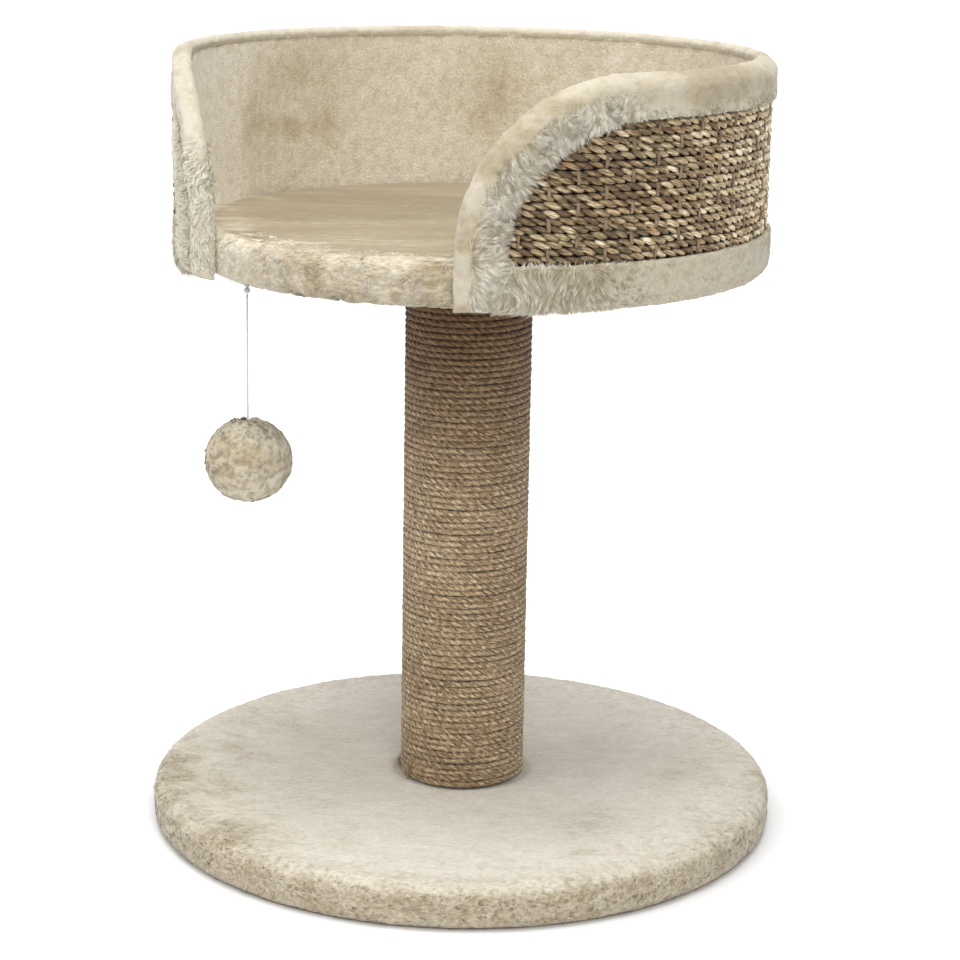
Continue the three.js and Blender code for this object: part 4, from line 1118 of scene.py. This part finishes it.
# Each row's radius, its share of the way up to just below the floor's plush, its share of the way
# from there to the top edge, and its fluff.
lining_rows = np.concatenate([
    np.stack([np.full(2, lining_inner), np.array([0.0, 0.5]) * 0.999, np.zeros(2), np.zeros(2)], axis=1),
    np.stack([
        np.full(visible_rows, lining_inner), np.ones(visible_rows),
        np.append(np.linspace(0, 0.9985, visible_rows - 1), 1.0), np.ones(visible_rows),
    ], axis=1),
    np.stack([np.full(3, lining_outer), np.ones(3), np.array([1.0, 0.5, 0.0]), np.zeros(3)], axis=1),
    [[lining_outer, 0.0, 0.0, 0.0]],
])
start_level = np.minimum(hidden_to, lining_top)[None, :]
lining_z = (
    lining_bottom + (start_level - lining_bottom) * lining_rows[:, 1:2]
    + (lining_top[None, :] - start_level) * lining_rows[:, 2:3]
)
lining_grid = around(lining_rows[:, None, 0], lining_s[None, :] / flat_radius, lining_z)[::-1]
lining_fluff = np.repeat(lining_rows[::-1, 3:], len(lining_s), axis=1)


def lining_nap(points):
    """The lining's nap: upright smears on the left of the bed, and an even grain on its right."""
    angle = angle_round(points)
    sheet = np.stack([angle * lining_inner, points[..., 2] * 0.4, 0 * angle], axis=-1)
    value = 0.52 + 0.30 * cloud(sheet, 0.05, 61) + 0.08 * cloud(sheet, 0.007, 63)
    value = value + 0.30 * smooth_step(-1.95, -1.35, angle) * (angle < 0)
    ragged = 0.1 + 0.9 * cloud(sheet, 0.014, 64) + 0.7 * cloud(sheet, 0.005, 65)
    for place, level, width, height in SMEARS:
        aside = (angle - place) * lining_inner / width
        value = value - 0.42 * ragged * np.exp(-aside ** 2 - ((points[..., 2] - level) / height) ** 2)
    return np.clip(value, 0, 1)


lining_skin, _ = skin_piece(
    "wall_lining_plush", lining_grid, lining_fluff, lining_nap(lining_grid), LINING_RELIEF, 62, 0.0036,
    closed_columns=False,
)
lining_material = plush_skin_material(
    "wall_plush", (160, 143, 110), (206, 195, 171), (244, 238, 226), (242, 239, 232), 0.0011,
    (1, 1, 1.3), speckle=1.3,
)
dress(lining_material, lining_skin)
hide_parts("wall_lining")

# ---------- Woven mat ----------
# Seagrass twisted in pairs of plies, laid in rows and bound two rows at a time by thin split-cane
# ties, in a brick pattern. It is glued over the panel, and the trim covers its edges.
ROW_PAIR_LEVEL = 0.4030  # middle of one pair of rows
PAIR_PITCH = 0.00872
FIRST_PAIR, LAST_PAIR = -2, 8
ROW_OFFSET = 0.00216  # of each row from its pair's middle
TIE_ANGLE = math.radians(40.3)  # one column of ties
TIE_PITCH = math.radians(5.33)
MAT_LAY = 0.0150
MAT_STEP = 0.0015
PLY_WIDTH = 0.0041
PLY_HEIGHT = 0.0028
PLY_ANGLES = np.radians([-116, -76, -30, 30, 76, 116])  # round its section, from straight outwards
# Painted shade round each ply's section: dark at its edges, lighter on one side than the other.
PLY_LIGHT = (0.0, 0.20, 1.0, 1.0, 0.34, 0.0)
PLY_ORBIT = 0.00115  # of each ply's middle, about the row's
PLY_LIFT = 0.0004  # of a pair between its ties, outwards
ROW_SPREAD = 0.0002  # of the two rows of a pair between its ties, apart
MAT_COVERED = 0.019  # of the mat, under the rim's trim
MAT_LOWEST, MAT_HIGHEST = 0.3845, 0.4745  # levels that the rows keep between
TIE_WIDTH = 0.0021
TIE_REACH = 0.0046  # from its middle to where it dives behind the pair
SEAGRASS_TONES = (  # dark, middle and pale, as straw, as ochre and as green
    ((88, 68, 40), (180, 156, 116), (254, 242, 212)),
    ((88, 60, 34), (182, 144, 98), (244, 216, 172)),
    ((80, 70, 42), (166, 152, 110), (236, 228, 194)),
)


def row_start(z):
    """Where a row of the mat comes out from under the trim: way s on the flat sheet, at level z. Beside
    the round corner it lies on a circle about the corner's middle."""
    if z <= corner_level:
        return s_end + MAT_COVERED
    rise = min(z - corner_level, CORNER_RADIUS - MAT_COVERED)
    return s_end + CORNER_RADIUS - math.sqrt((CORNER_RADIUS - MAT_COVERED) ** 2 - rise ** 2)


def pair_lift(angle, pair):
    """How far a pair of rows stands out, -1 where a tie holds it down and 1 between two ties: a cosine
    whose ties are set over by one column from each pair to the next."""
    return -np.cos(math.pi * (angle - TIE_ANGLE) / TIE_PITCH + math.pi * (pair % 2))


mat_rings, mat_tones = [], []
rng = np.random.default_rng(71)
mat_middle = mat_inner + (mat_outer - mat_inner) * 0.5
for pair in range(FIRST_PAIR, LAST_PAIR + 1):
    for row in (-1, 1):
        level = ROW_PAIR_LEVEL + PAIR_PITCH * pair + row * ROW_OFFSET
        if not MAT_LOWEST < level < MAT_HIGHEST:
            continue
        start = row_start(level)
        s = np.arange(start, 2 * s_middle - start, MAT_STEP)
        angle = s / flat_radius
        phase = rng.random() * 2 * math.pi
        lay = MAT_LAY * (0.93 + 0.14 * rng.random())
        line_points = np.stack([s, np.full(len(s), level * 9), np.zeros(len(s))], axis=1)
        wander = 0.0011 * (cloud(line_points, 0.03, 72) - 0.5)
        speed = 0.9 * (cloud(line_points, 0.025, 73) - 0.5)
        lift = pair_lift(angle, pair)
        for ply in (0, 1):
            twist = -2 * math.pi * s / lay + phase + speed + ply * math.pi
            front = np.cos(twist)
            out = mat_middle + PLY_ORBIT * front + PLY_LIFT * lift
            height = level + wander + PLY_ORBIT * np.sin(twist) + row * ROW_SPREAD * lift
            swell = 0.78 + 0.28 * cloud(line_points + ply, 0.008, 74) + 0.12 * front + 0.07 * lift
            # Each ply's section is an ellipse that turns with the twist.
            from_flat = PLY_ANGLES[None, :] - twist[:, None]
            radius = swell[:, None] / np.hypot(
                np.cos(from_flat) / (PLY_HEIGHT / 2), np.sin(from_flat) / (PLY_WIDTH / 2)
            )
            ring = around(
                out[:, None] + radius * np.cos(PLY_ANGLES), angle[:, None],
                height[:, None] + radius * np.sin(PLY_ANGLES),
            )[:, ::-1]
            mat_rings.append(ring)
            tone = 0.4 * cloud(line_points + 7 * ply, 0.035, 75)
            tone = tone + 0.6 * cloud(line_points + 5 * ply, 0.008, 76)
            # Painted shade: the seagrass is darker near the opening, on both sides.
            tone = tone - 0.42 * smooth_step(2.2, 0.8, np.minimum(angle, 2 * math.pi - angle))
            hue = cloud(line_points + 3 * ply, 0.05, 77)
            # Painted shade: each ply is darkened where it dives behind the other, and towards the edges of
            # its section.
            painted_front_light = smooth_step(-0.8, 0.25, front + 0.15 * lift)[:, None]
            light = np.array(PLY_LIGHT)[None, ::-1] * painted_front_light
            mat_tones.append(np.stack(np.broadcast_arrays(tone[:, None], hue[:, None], light), axis=2))


STRIP_SHARE = 0.94  # of each rod's strip of the map, which leaves a gap between two


def rods_piece(name, grids, tones=None):
    """Many tubes in one piece, each from a grid of rings, and each with its own strip of the map. Tones
    gives each point its tone, its hue and its painted light, 0 where its colour is darkened as painted
    shade."""
    points, groups, maps, values = [], [], [], []
    count = 0
    for index, grid in enumerate(grids):
        quads, quad_map = grid_faces(*grid.shape[:2], closed_columns=True)
        ring_points, fans, fan_maps = end_fans(grid)
        points.append(ring_points)
        groups.append([group + count for group in (quads, *fans)])
        strip = np.array([0.0, index / len(grids)])
        maps.append([
            turned[:, ::-1] * [1, STRIP_SHARE / len(grids)] + strip for turned in (quad_map, *fan_maps)
        ])
        if tones is not None:
            tone = tones[index].reshape(-1, 3)
            values.append(np.concatenate([tone, tone[:1], tone[-1:]]))
        count += len(ring_points)
    piece = mesh_piece(
        name, np.concatenate(points), [np.concatenate(kind) for kind in zip(*groups)],
        np.concatenate([np.concatenate(kind) for kind in zip(*maps)]),
    )
    if tones is not None:
        tone, hue, high = np.concatenate(values).T
        keep_values(piece, tone=tone, hue=hue, high=high)
    return piece


halfway = len(mat_rings) // 2
mat_parts = [
    rods_piece("seagrass_rows_1", mat_rings[:halfway], mat_tones[:halfway]),
    rods_piece("seagrass_rows_2", mat_rings[halfway:], mat_tones[halfway:]),
]
seagrass, tree, shader = new_material("seagrass", 0.55)
stalk = streak_value(tree, 150.0, 12.0 * halfway / STRIP_SHARE)
stalk_tone = scaled_sum(tree, stalk, 1.5, kept_value(tree, "tone"))
stalk_tone = scaled_sum(tree, grain_value(tree, 0.004), 0.4, stalk_tone)
tone_place = share_between(tree, stalk_tone, 0.88, 1.62)
straw, ochre, green = (
    ramp(tree, tone_place, *((place, srgb(*tone)) for place, tone in zip((0.0, 0.5, 1.0), tones)))
    for tones in SEAGRASS_TONES
)
hue_value = kept_value(tree, "hue")
seagrass_colour = mixed(tree, share_between(tree, hue_value, 0.60, 1.15), straw, ochre)
seagrass_colour = mixed(tree, share_between(tree, hue_value, 0.40, -0.1), seagrass_colour, green)
# Painted shade: a deep brown where a ply dives behind the other and at its edges.
gap_shade = ramp(tree, kept_value(tree, "high"), (0.0, srgb(40, 26, 16)), (0.8, WHITE))
paint(tree, shader, mixed(tree, 1.0, seagrass_colour, gap_shade, "MULTIPLY"))
bumped(tree, shader, stalk, 0.0006, 0.8)
dress(seagrass, *mat_parts)

# Ties: thin strips of split cane, bent over each pair of rows.
tie_grids = []
first_tie = math.ceil((s_end / flat_radius - TIE_ANGLE) / TIE_PITCH)
last_tie = math.floor(((2 * s_middle - s_end) / flat_radius - TIE_ANGLE) / TIE_PITCH)
rng = np.random.default_rng(78)
for pair in range(FIRST_PAIR, LAST_PAIR + 1):
    for column in range(first_tie, last_tie + 1):
        angle = TIE_ANGLE + column * TIE_PITCH
        middle = ROW_PAIR_LEVEL + PAIR_PITCH * pair
        s_here = min(angle * flat_radius, 2 * s_middle - angle * flat_radius)
        between = MAT_LOWEST + 0.0005 < middle < MAT_HIGHEST - 0.0005
        if (column + pair) % 2 or s_here < row_start(middle) or not between:
            continue
        # A tie goes over the pair in a low arch and dives behind it at both ends.
        way = np.linspace(-1, 1, 9)[:, None]
        arch = np.sqrt(1 - 0.85 * way ** 4)
        lean = 0.0009 * (rng.random() - 0.5)
        width = TIE_WIDTH * (0.85 + 0.3 * rng.random()) / 2
        corner = np.radians([45, 135, 225, 315])[None, :]
        tie_angle = angle + (lean * way + width * np.cos(corner) * 1.3) / flat_radius
        tie_radius = mat_middle + 0.0030 * arch - 0.0008 + 0.00045 * np.sin(corner)
        tie_grids.append(around(tie_radius, tie_angle, middle + TIE_REACH * way)[:, ::-1])
mat_ties = rods_piece("mat_ties", tie_grids)
tie_material, tree, shader = new_material("cane_tie", 0.6)
tie_tone = grain_value(tree, 0.003, (1, 1, 2))
paint(tree, shader, ramp(tree, tie_tone, (0.3, srgb(98, 76, 56)), (0.7, srgb(158, 134, 108))))
bumped(tree, shader, grain_value(tree, 0.0005, (1, 1, 6)), 0.0003)
dress(tie_material, mat_ties)
for part in (*mat_parts, mat_ties):
    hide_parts("woven_mat")

# ---------- Rim trim ----------
# A strip of longer plush, padded where it wraps the panel's edge. It runs up one end of the wall,
# along the rim and down the other end; its nap lies away from the edge, over the mat.
RIM_ROUND = 0.010
RIM_CREST = 0.0025
RIM_BAND = 0.025
HEM_ROUND = 0.010
RIM_STEP = 0.0013
RIM_RELIEF = 0.0009
RIM_TUFT = 0.0048
RIM_BREAKS = (0.0, 0.19, 0.80, 1.0)  # of the trim's length, between the parts of its nap
RIM_FIBRES = (42000, 14000, 12000)
SEAM_FIBRES = 9000
RIM_BENDS = (1, 1, 2)  # how many bends a hair has in each part
FUR_WIDTH = 0.00045
FUR_LOCK = 0.0023  # between the locks that the hairs' tips are drawn to
FUR_ROOT = 0.0004  # how far the hairs start below the skin
FIRST_LONG_NAP = (0.205, 0.15)  # metres from the first end, where long nap starts and where all is long
SECOND_LONG_NAP = (0.13, 0.07)  # and from the second end
SECOND_SHAG = (0.13, 0.09)  # metres from the second end, where the nap is longest and lies straight


def pressed_flat(radius, angle):
    """The radius of the trims' outside: three quarters of their thickness over the mat is pressed out
    near the second end."""
    share = 0.75 * smooth_step(math.radians(215), math.radians(262), angle)
    return np.where(radius > band_inner, radius - share * (radius - band_inner), radius)


rim_edge = wall_edge(RIM_STEP)
rim_crest = lining_inner + RIM_CREST
rim_inner = lining_inner - 0.0002
rim_rows = np.concatenate([  # from the inside over the edge to the outside, and back under the band
    line((edge_inset, rim_inner), (edge_inset - 0.00015, rim_inner), 0.00015),
    line((edge_inset - 0.00015, rim_inner), (0.001, rim_inner), 0.0013, 0.8),
    bow((RIM_ROUND, rim_crest), (RIM_ROUND, wall_outer - rim_crest), 180, 90, 0.0012, 0.8),
    line((RIM_ROUND, wall_outer), (RIM_BAND - 0.001, wall_outer), 0.0012, 1),
    line((RIM_BAND - 0.001, wall_outer), (RIM_BAND, band_inner + SKIN_GAP), 0.0012, 0.4),
    line((RIM_BAND, band_inner), (edge_inset, band_inner), 0.02),
])[::-1]
depth = rim_rows[:, None, 0]
rim_z = rim_edge[None, :, 1] + depth * rim_edge[None, :, 3]
rim_angle = (rim_edge[None, :, 0] + depth * rim_edge[None, :, 2]) / flat_radius
# The trim's ends are rounded off at the wall's bottom, as the hem is.
below = np.clip(wall_bottom + HEM_ROUND - rim_z, 0, HEM_ROUND)
reach = wall_outer - HEM_ROUND + np.sqrt(HEM_ROUND ** 2 - below ** 2)
rim_radius = np.minimum(rim_rows[:, None, 1], np.maximum(reach, lining_inner + 0.001))
rim_radius = pressed_flat(rim_radius, rim_angle)
rim_grid = around(rim_radius, rim_angle, rim_z)
rim_fluff = np.repeat(rim_rows[:, 2:], len(rim_edge), axis=1)


def rim_nap(points):
    """The trim's nap: soft patches that are longer round the post than they are high."""
    return nap(points * np.array([1.0, 1.0, 1.6]), 0.036, 81, 0.6)


# Painted light: the trim is paler down the second end of the wall, which lies in shade. It is paler along
# the back of the rim too.
from_second_end = (len(rim_edge) - np.arange(len(rim_edge))) * RIM_STEP
second_leg = smooth_step(0.26, 0.14, from_second_end)[None, :]
back_rim = smooth_step(2.0, 2.6, rim_angle) * smooth_step(5.2, 4.6, rim_angle)
rim_skin, rim_raised = skin_piece(
    "rim_plush", rim_grid, rim_fluff, rim_nap(rim_grid) + 0.5 * second_leg + 0.8 * back_rim,
    RIM_RELIEF, 82, RIM_TUFT, closed_columns=False,
)
trim_material = plush_skin_material(
    "trim_plush", (160, 146, 117), (184, 172, 147), (206, 198, 180), (242, 239, 232), 0.0011,
)
dress(trim_material, rim_skin)
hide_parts("rim_trim")

fur_material = fibre_material("long_nap", (182, 167, 139), (148, 130, 95), (255, 250, 233), sheen=0.0)
rim_down, rim_along, rim_out = directions(rim_grid, True, False)
rim_depth = np.repeat(depth, len(rim_edge), axis=1)
way_along = np.repeat(np.arange(len(rim_edge))[None, :] * RIM_STEP, len(rim_rows), axis=0)
rim_length = way_along.max()


def rim_shag(way):
    """How long the nap is along the trim, 0 to 1: long on the two ends and corners, short on the top."""
    return np.maximum(smooth_step(*FIRST_LONG_NAP, way), smooth_step(*SECOND_LONG_NAP, rim_length - way))


def rim_fur(name, start, end, count, seed, bends):
    """Hairs on one stretch of the trim, from start to end as shares of its length. They lie over the
    mat. On the top they are only a short fuzz at the lower edge, and down the second end they lie
    along the edge in waves, over its face too."""
    far_end = smooth_step(0.095, 0.045, rim_length - way_along)
    band = smooth_step(0.0085, 0.0150, rim_depth)
    edge_only = smooth_step(0.018, 0.022, rim_depth)
    thick = rim_shag(way_along)
    weight = band * thick + edge_only * (1 - thick) + far_end ** 2 * (rim_depth < 0.0085)
    weight = weight * (rim_depth < RIM_BAND) * (rim_rows[:, None, 2] > 0.3)
    weight = weight * (1 + 1.5 * (rim_depth > 0.017) * smooth_step(*SECOND_SHAG, rim_length - way_along))
    weight = weight * np.where(far_end > 0, rim_z > wall_bottom + 0.004, 1.0)
    weight = weight * (way_along >= start * rim_length) * (way_along <= end * rim_length)
    on_face = smooth_step(0.012, 0.008, rim_depth)
    root, (out, backwards, along, way, wavy) = scattered(
        rim_raised, (rim_out, rim_down, rim_along, way_along, far_end * on_face), weight, count, seed,
    )
    draw = np.random.default_rng(seed + 1)
    shag = rim_shag(way)
    second_end = smooth_step(*SECOND_SHAG, rim_length - way) * (1 - wavy)
    swirl = 2.4 * (cloud(root, 0.016, 83) - 0.5) + 1.8 * (cloud(root, 0.004, 84) - 0.5)
    swirl = (swirl + 0.35 * draw.normal(size=count)) * (1 - 0.6 * second_end)
    swirl = swirl + wavy * math.pi / 2
    lean = combed(out, backwards, along, swirl, (0.35 - 0.2 * shag)[:, None])
    length = 0.0022 + 0.0068 * shag - 0.0044 * wavy + 0.0040 * second_end
    length = length * (0.45 + 0.7 * draw.random(count))
    length = length * smooth_step(wall_bottom - 0.002, wall_bottom + 0.014, root[:, 2])
    _, tuft_tone, to_tuft = tufts(root + 0.6 * length[:, None] * lean, FUR_LOCK, 85)
    tone = 0.2 * rim_nap(root) + (0.75 - 0.5 * wavy) * tuft_tone + 0.4 * draw.random(count) - 0.08
    # Painted light: the hairs down the second end are paler, where they lie in shade.
    tone = tone + 0.35 * wavy + 0.30 * second_end
    return fibres_piece(
        name, root - FUR_ROOT * out, out, lean, length, FUR_WIDTH, np.clip(tone, 0, 1), bends=bends,
        tip_pull=0.6 * to_tuft * (0.4 + 0.6 * shag)[:, None], own=0.9,
    )


# A short fuzz hides the seam between the trim and the lining.
seam_band = (rim_depth > 0.0030) & (rim_depth < 0.0058)
seam_here = (rim_rows[:, None, 2] == 0.8) & seam_band & (rim_radius < lining_inner + 0.001)
seam_roots, (seam_out, seam_back, seam_along) = scattered(
    rim_raised, (rim_out, rim_down, rim_along), 1.0 * seam_here, SEAM_FIBRES, 97,
)
rng = np.random.default_rng(98)
seam_lean = unit(
    seam_back + 0.7 * rng.normal(size=(SEAM_FIBRES, 1)) * seam_along + 0.12 * seam_out
)
seam_nap = fibres_piece(
    "rim_seam_nap", seam_roots, seam_out, seam_lean, 0.0030 * (0.5 + 0.6 * rng.random(SEAM_FIBRES)),
    FUR_WIDTH, 0.6 * rng.random(SEAM_FIBRES) + 0.2, own=0.2,
)
dress(fibre_material("seam_nap", (246, 243, 236), (184, 170, 142), (226, 216, 196)), seam_nap)

rim_furs = [
    rim_fur(f"rim_nap_{i + 1}", RIM_BREAKS[i], RIM_BREAKS[i + 1], RIM_FIBRES[i], 86 + 2 * i, RIM_BENDS[i])
    for i in range(len(RIM_FIBRES))
]
dress(fur_material, *rim_furs)

# ---------- Hem trim ----------
# The same plush in a strip round the wall's bottom edge, from one end of the rim's trim to the
# other. Its nap is long and rough near the front, and smooth on the right.
HEM_STEP = 0.0013
HEM_FIBRES = 36000
HEM_LONG_NAP = ((1.25, 0.75), (5.2, 5.6))  # angles where long nap starts and where all is long

hem_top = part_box("hem_trim")[1].z
hem_start = (s_end + RIM_BAND + SKIN_GAP) / flat_radius
hem_floor = wall_bottom + (wall_outer - band_inner)
hem_rows = np.concatenate([
    line((lining_inner, wall_bottom), (wall_outer - HEM_ROUND, wall_bottom), 0.003),
    bow((wall_outer - HEM_ROUND, wall_bottom + HEM_ROUND), (HEM_ROUND,) * 2, -90, 0, 0.0012, 1),
    line((wall_outer, wall_bottom + HEM_ROUND), (wall_outer, hem_top - 0.001), 0.0012, 1),
    line((wall_outer, hem_top - 0.001), (band_inner, hem_top), 0.0012, 0.5),
    line((band_inner, hem_top), (band_inner, hem_floor + 0.008), 0.01),
    line((band_inner, hem_floor + 0.008), (panel_outer, hem_floor), 0.008),
    line((panel_outer, hem_floor), (lining_inner, hem_floor), 0.006),
])
hem_columns = round((2 * math.pi - 2 * hem_start) * wall_outer / HEM_STEP)
hem_angle = np.linspace(hem_start, 2 * math.pi - hem_start, hem_columns)
hem_grid = around(
    pressed_flat(hem_rows[:, None, 0], hem_angle[None, :]), hem_angle[None, :], hem_rows[:, None, 1],
)
hem_fluff = np.repeat(hem_rows[:, 2:], hem_columns, axis=1)
hem_skin, hem_raised = skin_piece(
    "hem_plush", hem_grid, hem_fluff, rim_nap(hem_grid) - 0.15, RIM_RELIEF, 91, RIM_TUFT,
    closed_columns=False,
)
dress(trim_material, hem_skin)
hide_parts("hem_trim")
hem_down, hem_along, hem_out = directions(hem_grid, True, False)


def hem_shag(angle):
    """How long the nap is round the hem, 0 to 1: long near the opening, on both sides."""
    return np.maximum(*(smooth_step(start, full, angle) for start, full in HEM_LONG_NAP))


hem_roots, (root_out, root_down, root_along, root_angle) = scattered(
    hem_raised, (hem_out, hem_down, hem_along, np.repeat(hem_angle[None, :], len(hem_rows), 0)),
    hem_fluff * (0.35 + 0.65 * hem_shag(hem_angle)[None, :]), HEM_FIBRES, 92,
)
rng = np.random.default_rng(93)
long_here = hem_shag(root_angle)
hem_swirl = 3.6 * (cloud(hem_roots, 0.02, 94) - 0.5) + 1.6 * (cloud(hem_roots, 0.006, 95) - 0.5)
# Along the top edge most hairs stand up over the mat, and elsewhere they hang.
upwards = smooth_step(hem_top - 0.0045, hem_top - 0.001, hem_roots[:, 2]) * (rng.random(HEM_FIBRES) < 0.8)
hang = (1 - 2 * upwards)[:, None]
hem_lean = combed(root_out, root_down * hang, root_along, hem_swirl, (0.35 - 0.15 * long_here)[:, None])
hem_length = 0.0022 + 0.0056 * long_here * (1 - 0.5 * upwards)
hem_length = hem_length * (0.45 + 0.7 * rng.random(HEM_FIBRES))
_, tuft_tone, to_tuft = tufts(hem_roots + 0.6 * hem_length[:, None] * hem_lean, FUR_LOCK, 96)
hem_tone = 0.2 * rim_nap(hem_roots) + 0.65 * tuft_tone + 0.4 * rng.random(HEM_FIBRES) - 0.12
hem_fur = fibres_piece(
    "hem_nap", hem_roots - FUR_ROOT * root_out, root_out, hem_lean, hem_length, FUR_WIDTH,
    np.clip(hem_tone, 0, 1), tip_pull=0.6 * to_tuft * (0.4 + 0.6 * long_here)[:, None], own=0.9,
)
dress(fur_material, hem_fur)

# ---------- Toy ball ----------
# A plush skin gathered at the top round a ball of wadding. The string comes out of the gather.
BALL_ROWS = 90
BALL_COLUMNS = 150
BALL_DIMPLE = 0.0024
BALL_DIMPLE_RADIUS = 0.006
BALL_PLUSH = 0.003
BALL_RELIEF = 0.0010
BALL_FIBRES = 12000
BALL_NAP = 0.0032
BALL_TUFT = 0.0042
BALL_NAP_WIDTH = 0.0006
STRING_HOLE = 0.0010
BALL_FOLDS = 9
BALL_INSET = 0.0005  # of the skin, for its hairs to end where the cover does

ball_low, ball_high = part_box("ball_cover")
ball_half_width = (ball_high.x - ball_low.x) / 2 - BALL_INSET
ball_half_height = (ball_high.z - ball_low.z + BALL_DIMPLE * 0.7) / 2
ball_middle = ball_low.z + ball_half_height


def ball_grid(shrink, rows, up):
    """The ball's surface from bottom to top: an ellipse drawn in at the top, and gathered there in
    folds that fade away from it."""
    climb = np.linspace(-math.pi / 2 + 0.02, math.acos(STRING_HOLE / ball_half_width), rows)
    climb = climb if up else climb[::-1]
    turn = np.arange(BALL_COLUMNS) * 2 * math.pi / BALL_COLUMNS
    radius = (ball_half_width - shrink) * np.cos(climb)
    dimple = np.where(climb > 0, BALL_DIMPLE * np.exp(-((radius / BALL_DIMPLE_RADIUS) ** 2)), 0)
    level = ball_middle + (ball_half_height - shrink) * np.sin(climb) - dimple
    fold = 0.0011 * np.exp(-((radius / 0.012) ** 2)) * (climb > 0)
    level = level[:, None] + fold[:, None] * np.sin(BALL_FOLDS * turn + 2 * np.sin(2 * turn))[None, :]
    lump = 0.0012 * (cloud(np.stack([np.cos(turn), np.sin(turn), 0 * turn], axis=1), 0.6, 101) - 0.5)
    radius = radius[:, None] + lump[None, :] * np.cos(climb)[:, None]
    return np.stack([string_x + radius * np.cos(turn), string_y + radius * np.sin(turn), level], axis=2)


ball_points = np.concatenate([ball_grid(0.0, BALL_ROWS, True), ball_grid(BALL_PLUSH, 14, False)])
ball_fluff = np.zeros(ball_points.shape[:2])
ball_fluff[:BALL_ROWS - 3] = 1


def ball_nap(points):
    """The ball's nap in two or three soft patches."""
    return nap(points, 0.026, 102, 0.5)


ball_skin, ball_raised = skin_piece(
    "ball_plush", ball_points, ball_fluff, ball_nap(ball_points), BALL_RELIEF, 103, BALL_TUFT, poles=True,
)
ball_material = plush_skin_material(
    "ball_plush", (178, 163, 132), (199, 188, 163), (216, 207, 188), (226, 219, 204), 0.0011,
)
dress(ball_material, ball_skin)
ball_down, ball_along, ball_out = directions(ball_points[:BALL_ROWS], False, True)
ball_roots, (root_out, root_down, root_along) = scattered(
    ball_raised[:BALL_ROWS], (ball_out, ball_down, ball_along), np.ones((BALL_ROWS, BALL_COLUMNS)),
    BALL_FIBRES, 104,
)
rng = np.random.default_rng(105)
ball_swirl = 6.0 * (cloud(ball_roots, 0.014, 106) - 0.5)
ball_lean = combed(root_out, root_down, root_along, ball_swirl, 0.2)
_, tuft_tone, to_tuft = tufts(ball_roots + 0.5 * BALL_NAP * ball_lean, BALL_TUFT, 107)
ball_length = BALL_NAP * (0.55 + 0.5 * rng.random(BALL_FIBRES))
ball_tone = 0.31 + 0.2 * ball_nap(ball_roots) + 0.04 * tuft_tone + 0.1 * rng.random(BALL_FIBRES)
ball_pile = fibres_piece(
    "ball_pile", ball_roots - PILE_ROOT * root_out, root_out, ball_lean, ball_length, BALL_NAP_WIDTH,
    np.clip(ball_tone, 0, 1), tip_pull=0.3 * to_tuft, body="toy", own=0.3,
)
dress(short_pile_material, ball_pile)
for part in (ball_skin, ball_pile):
    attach(part, "toy")
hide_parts("ball_cover")
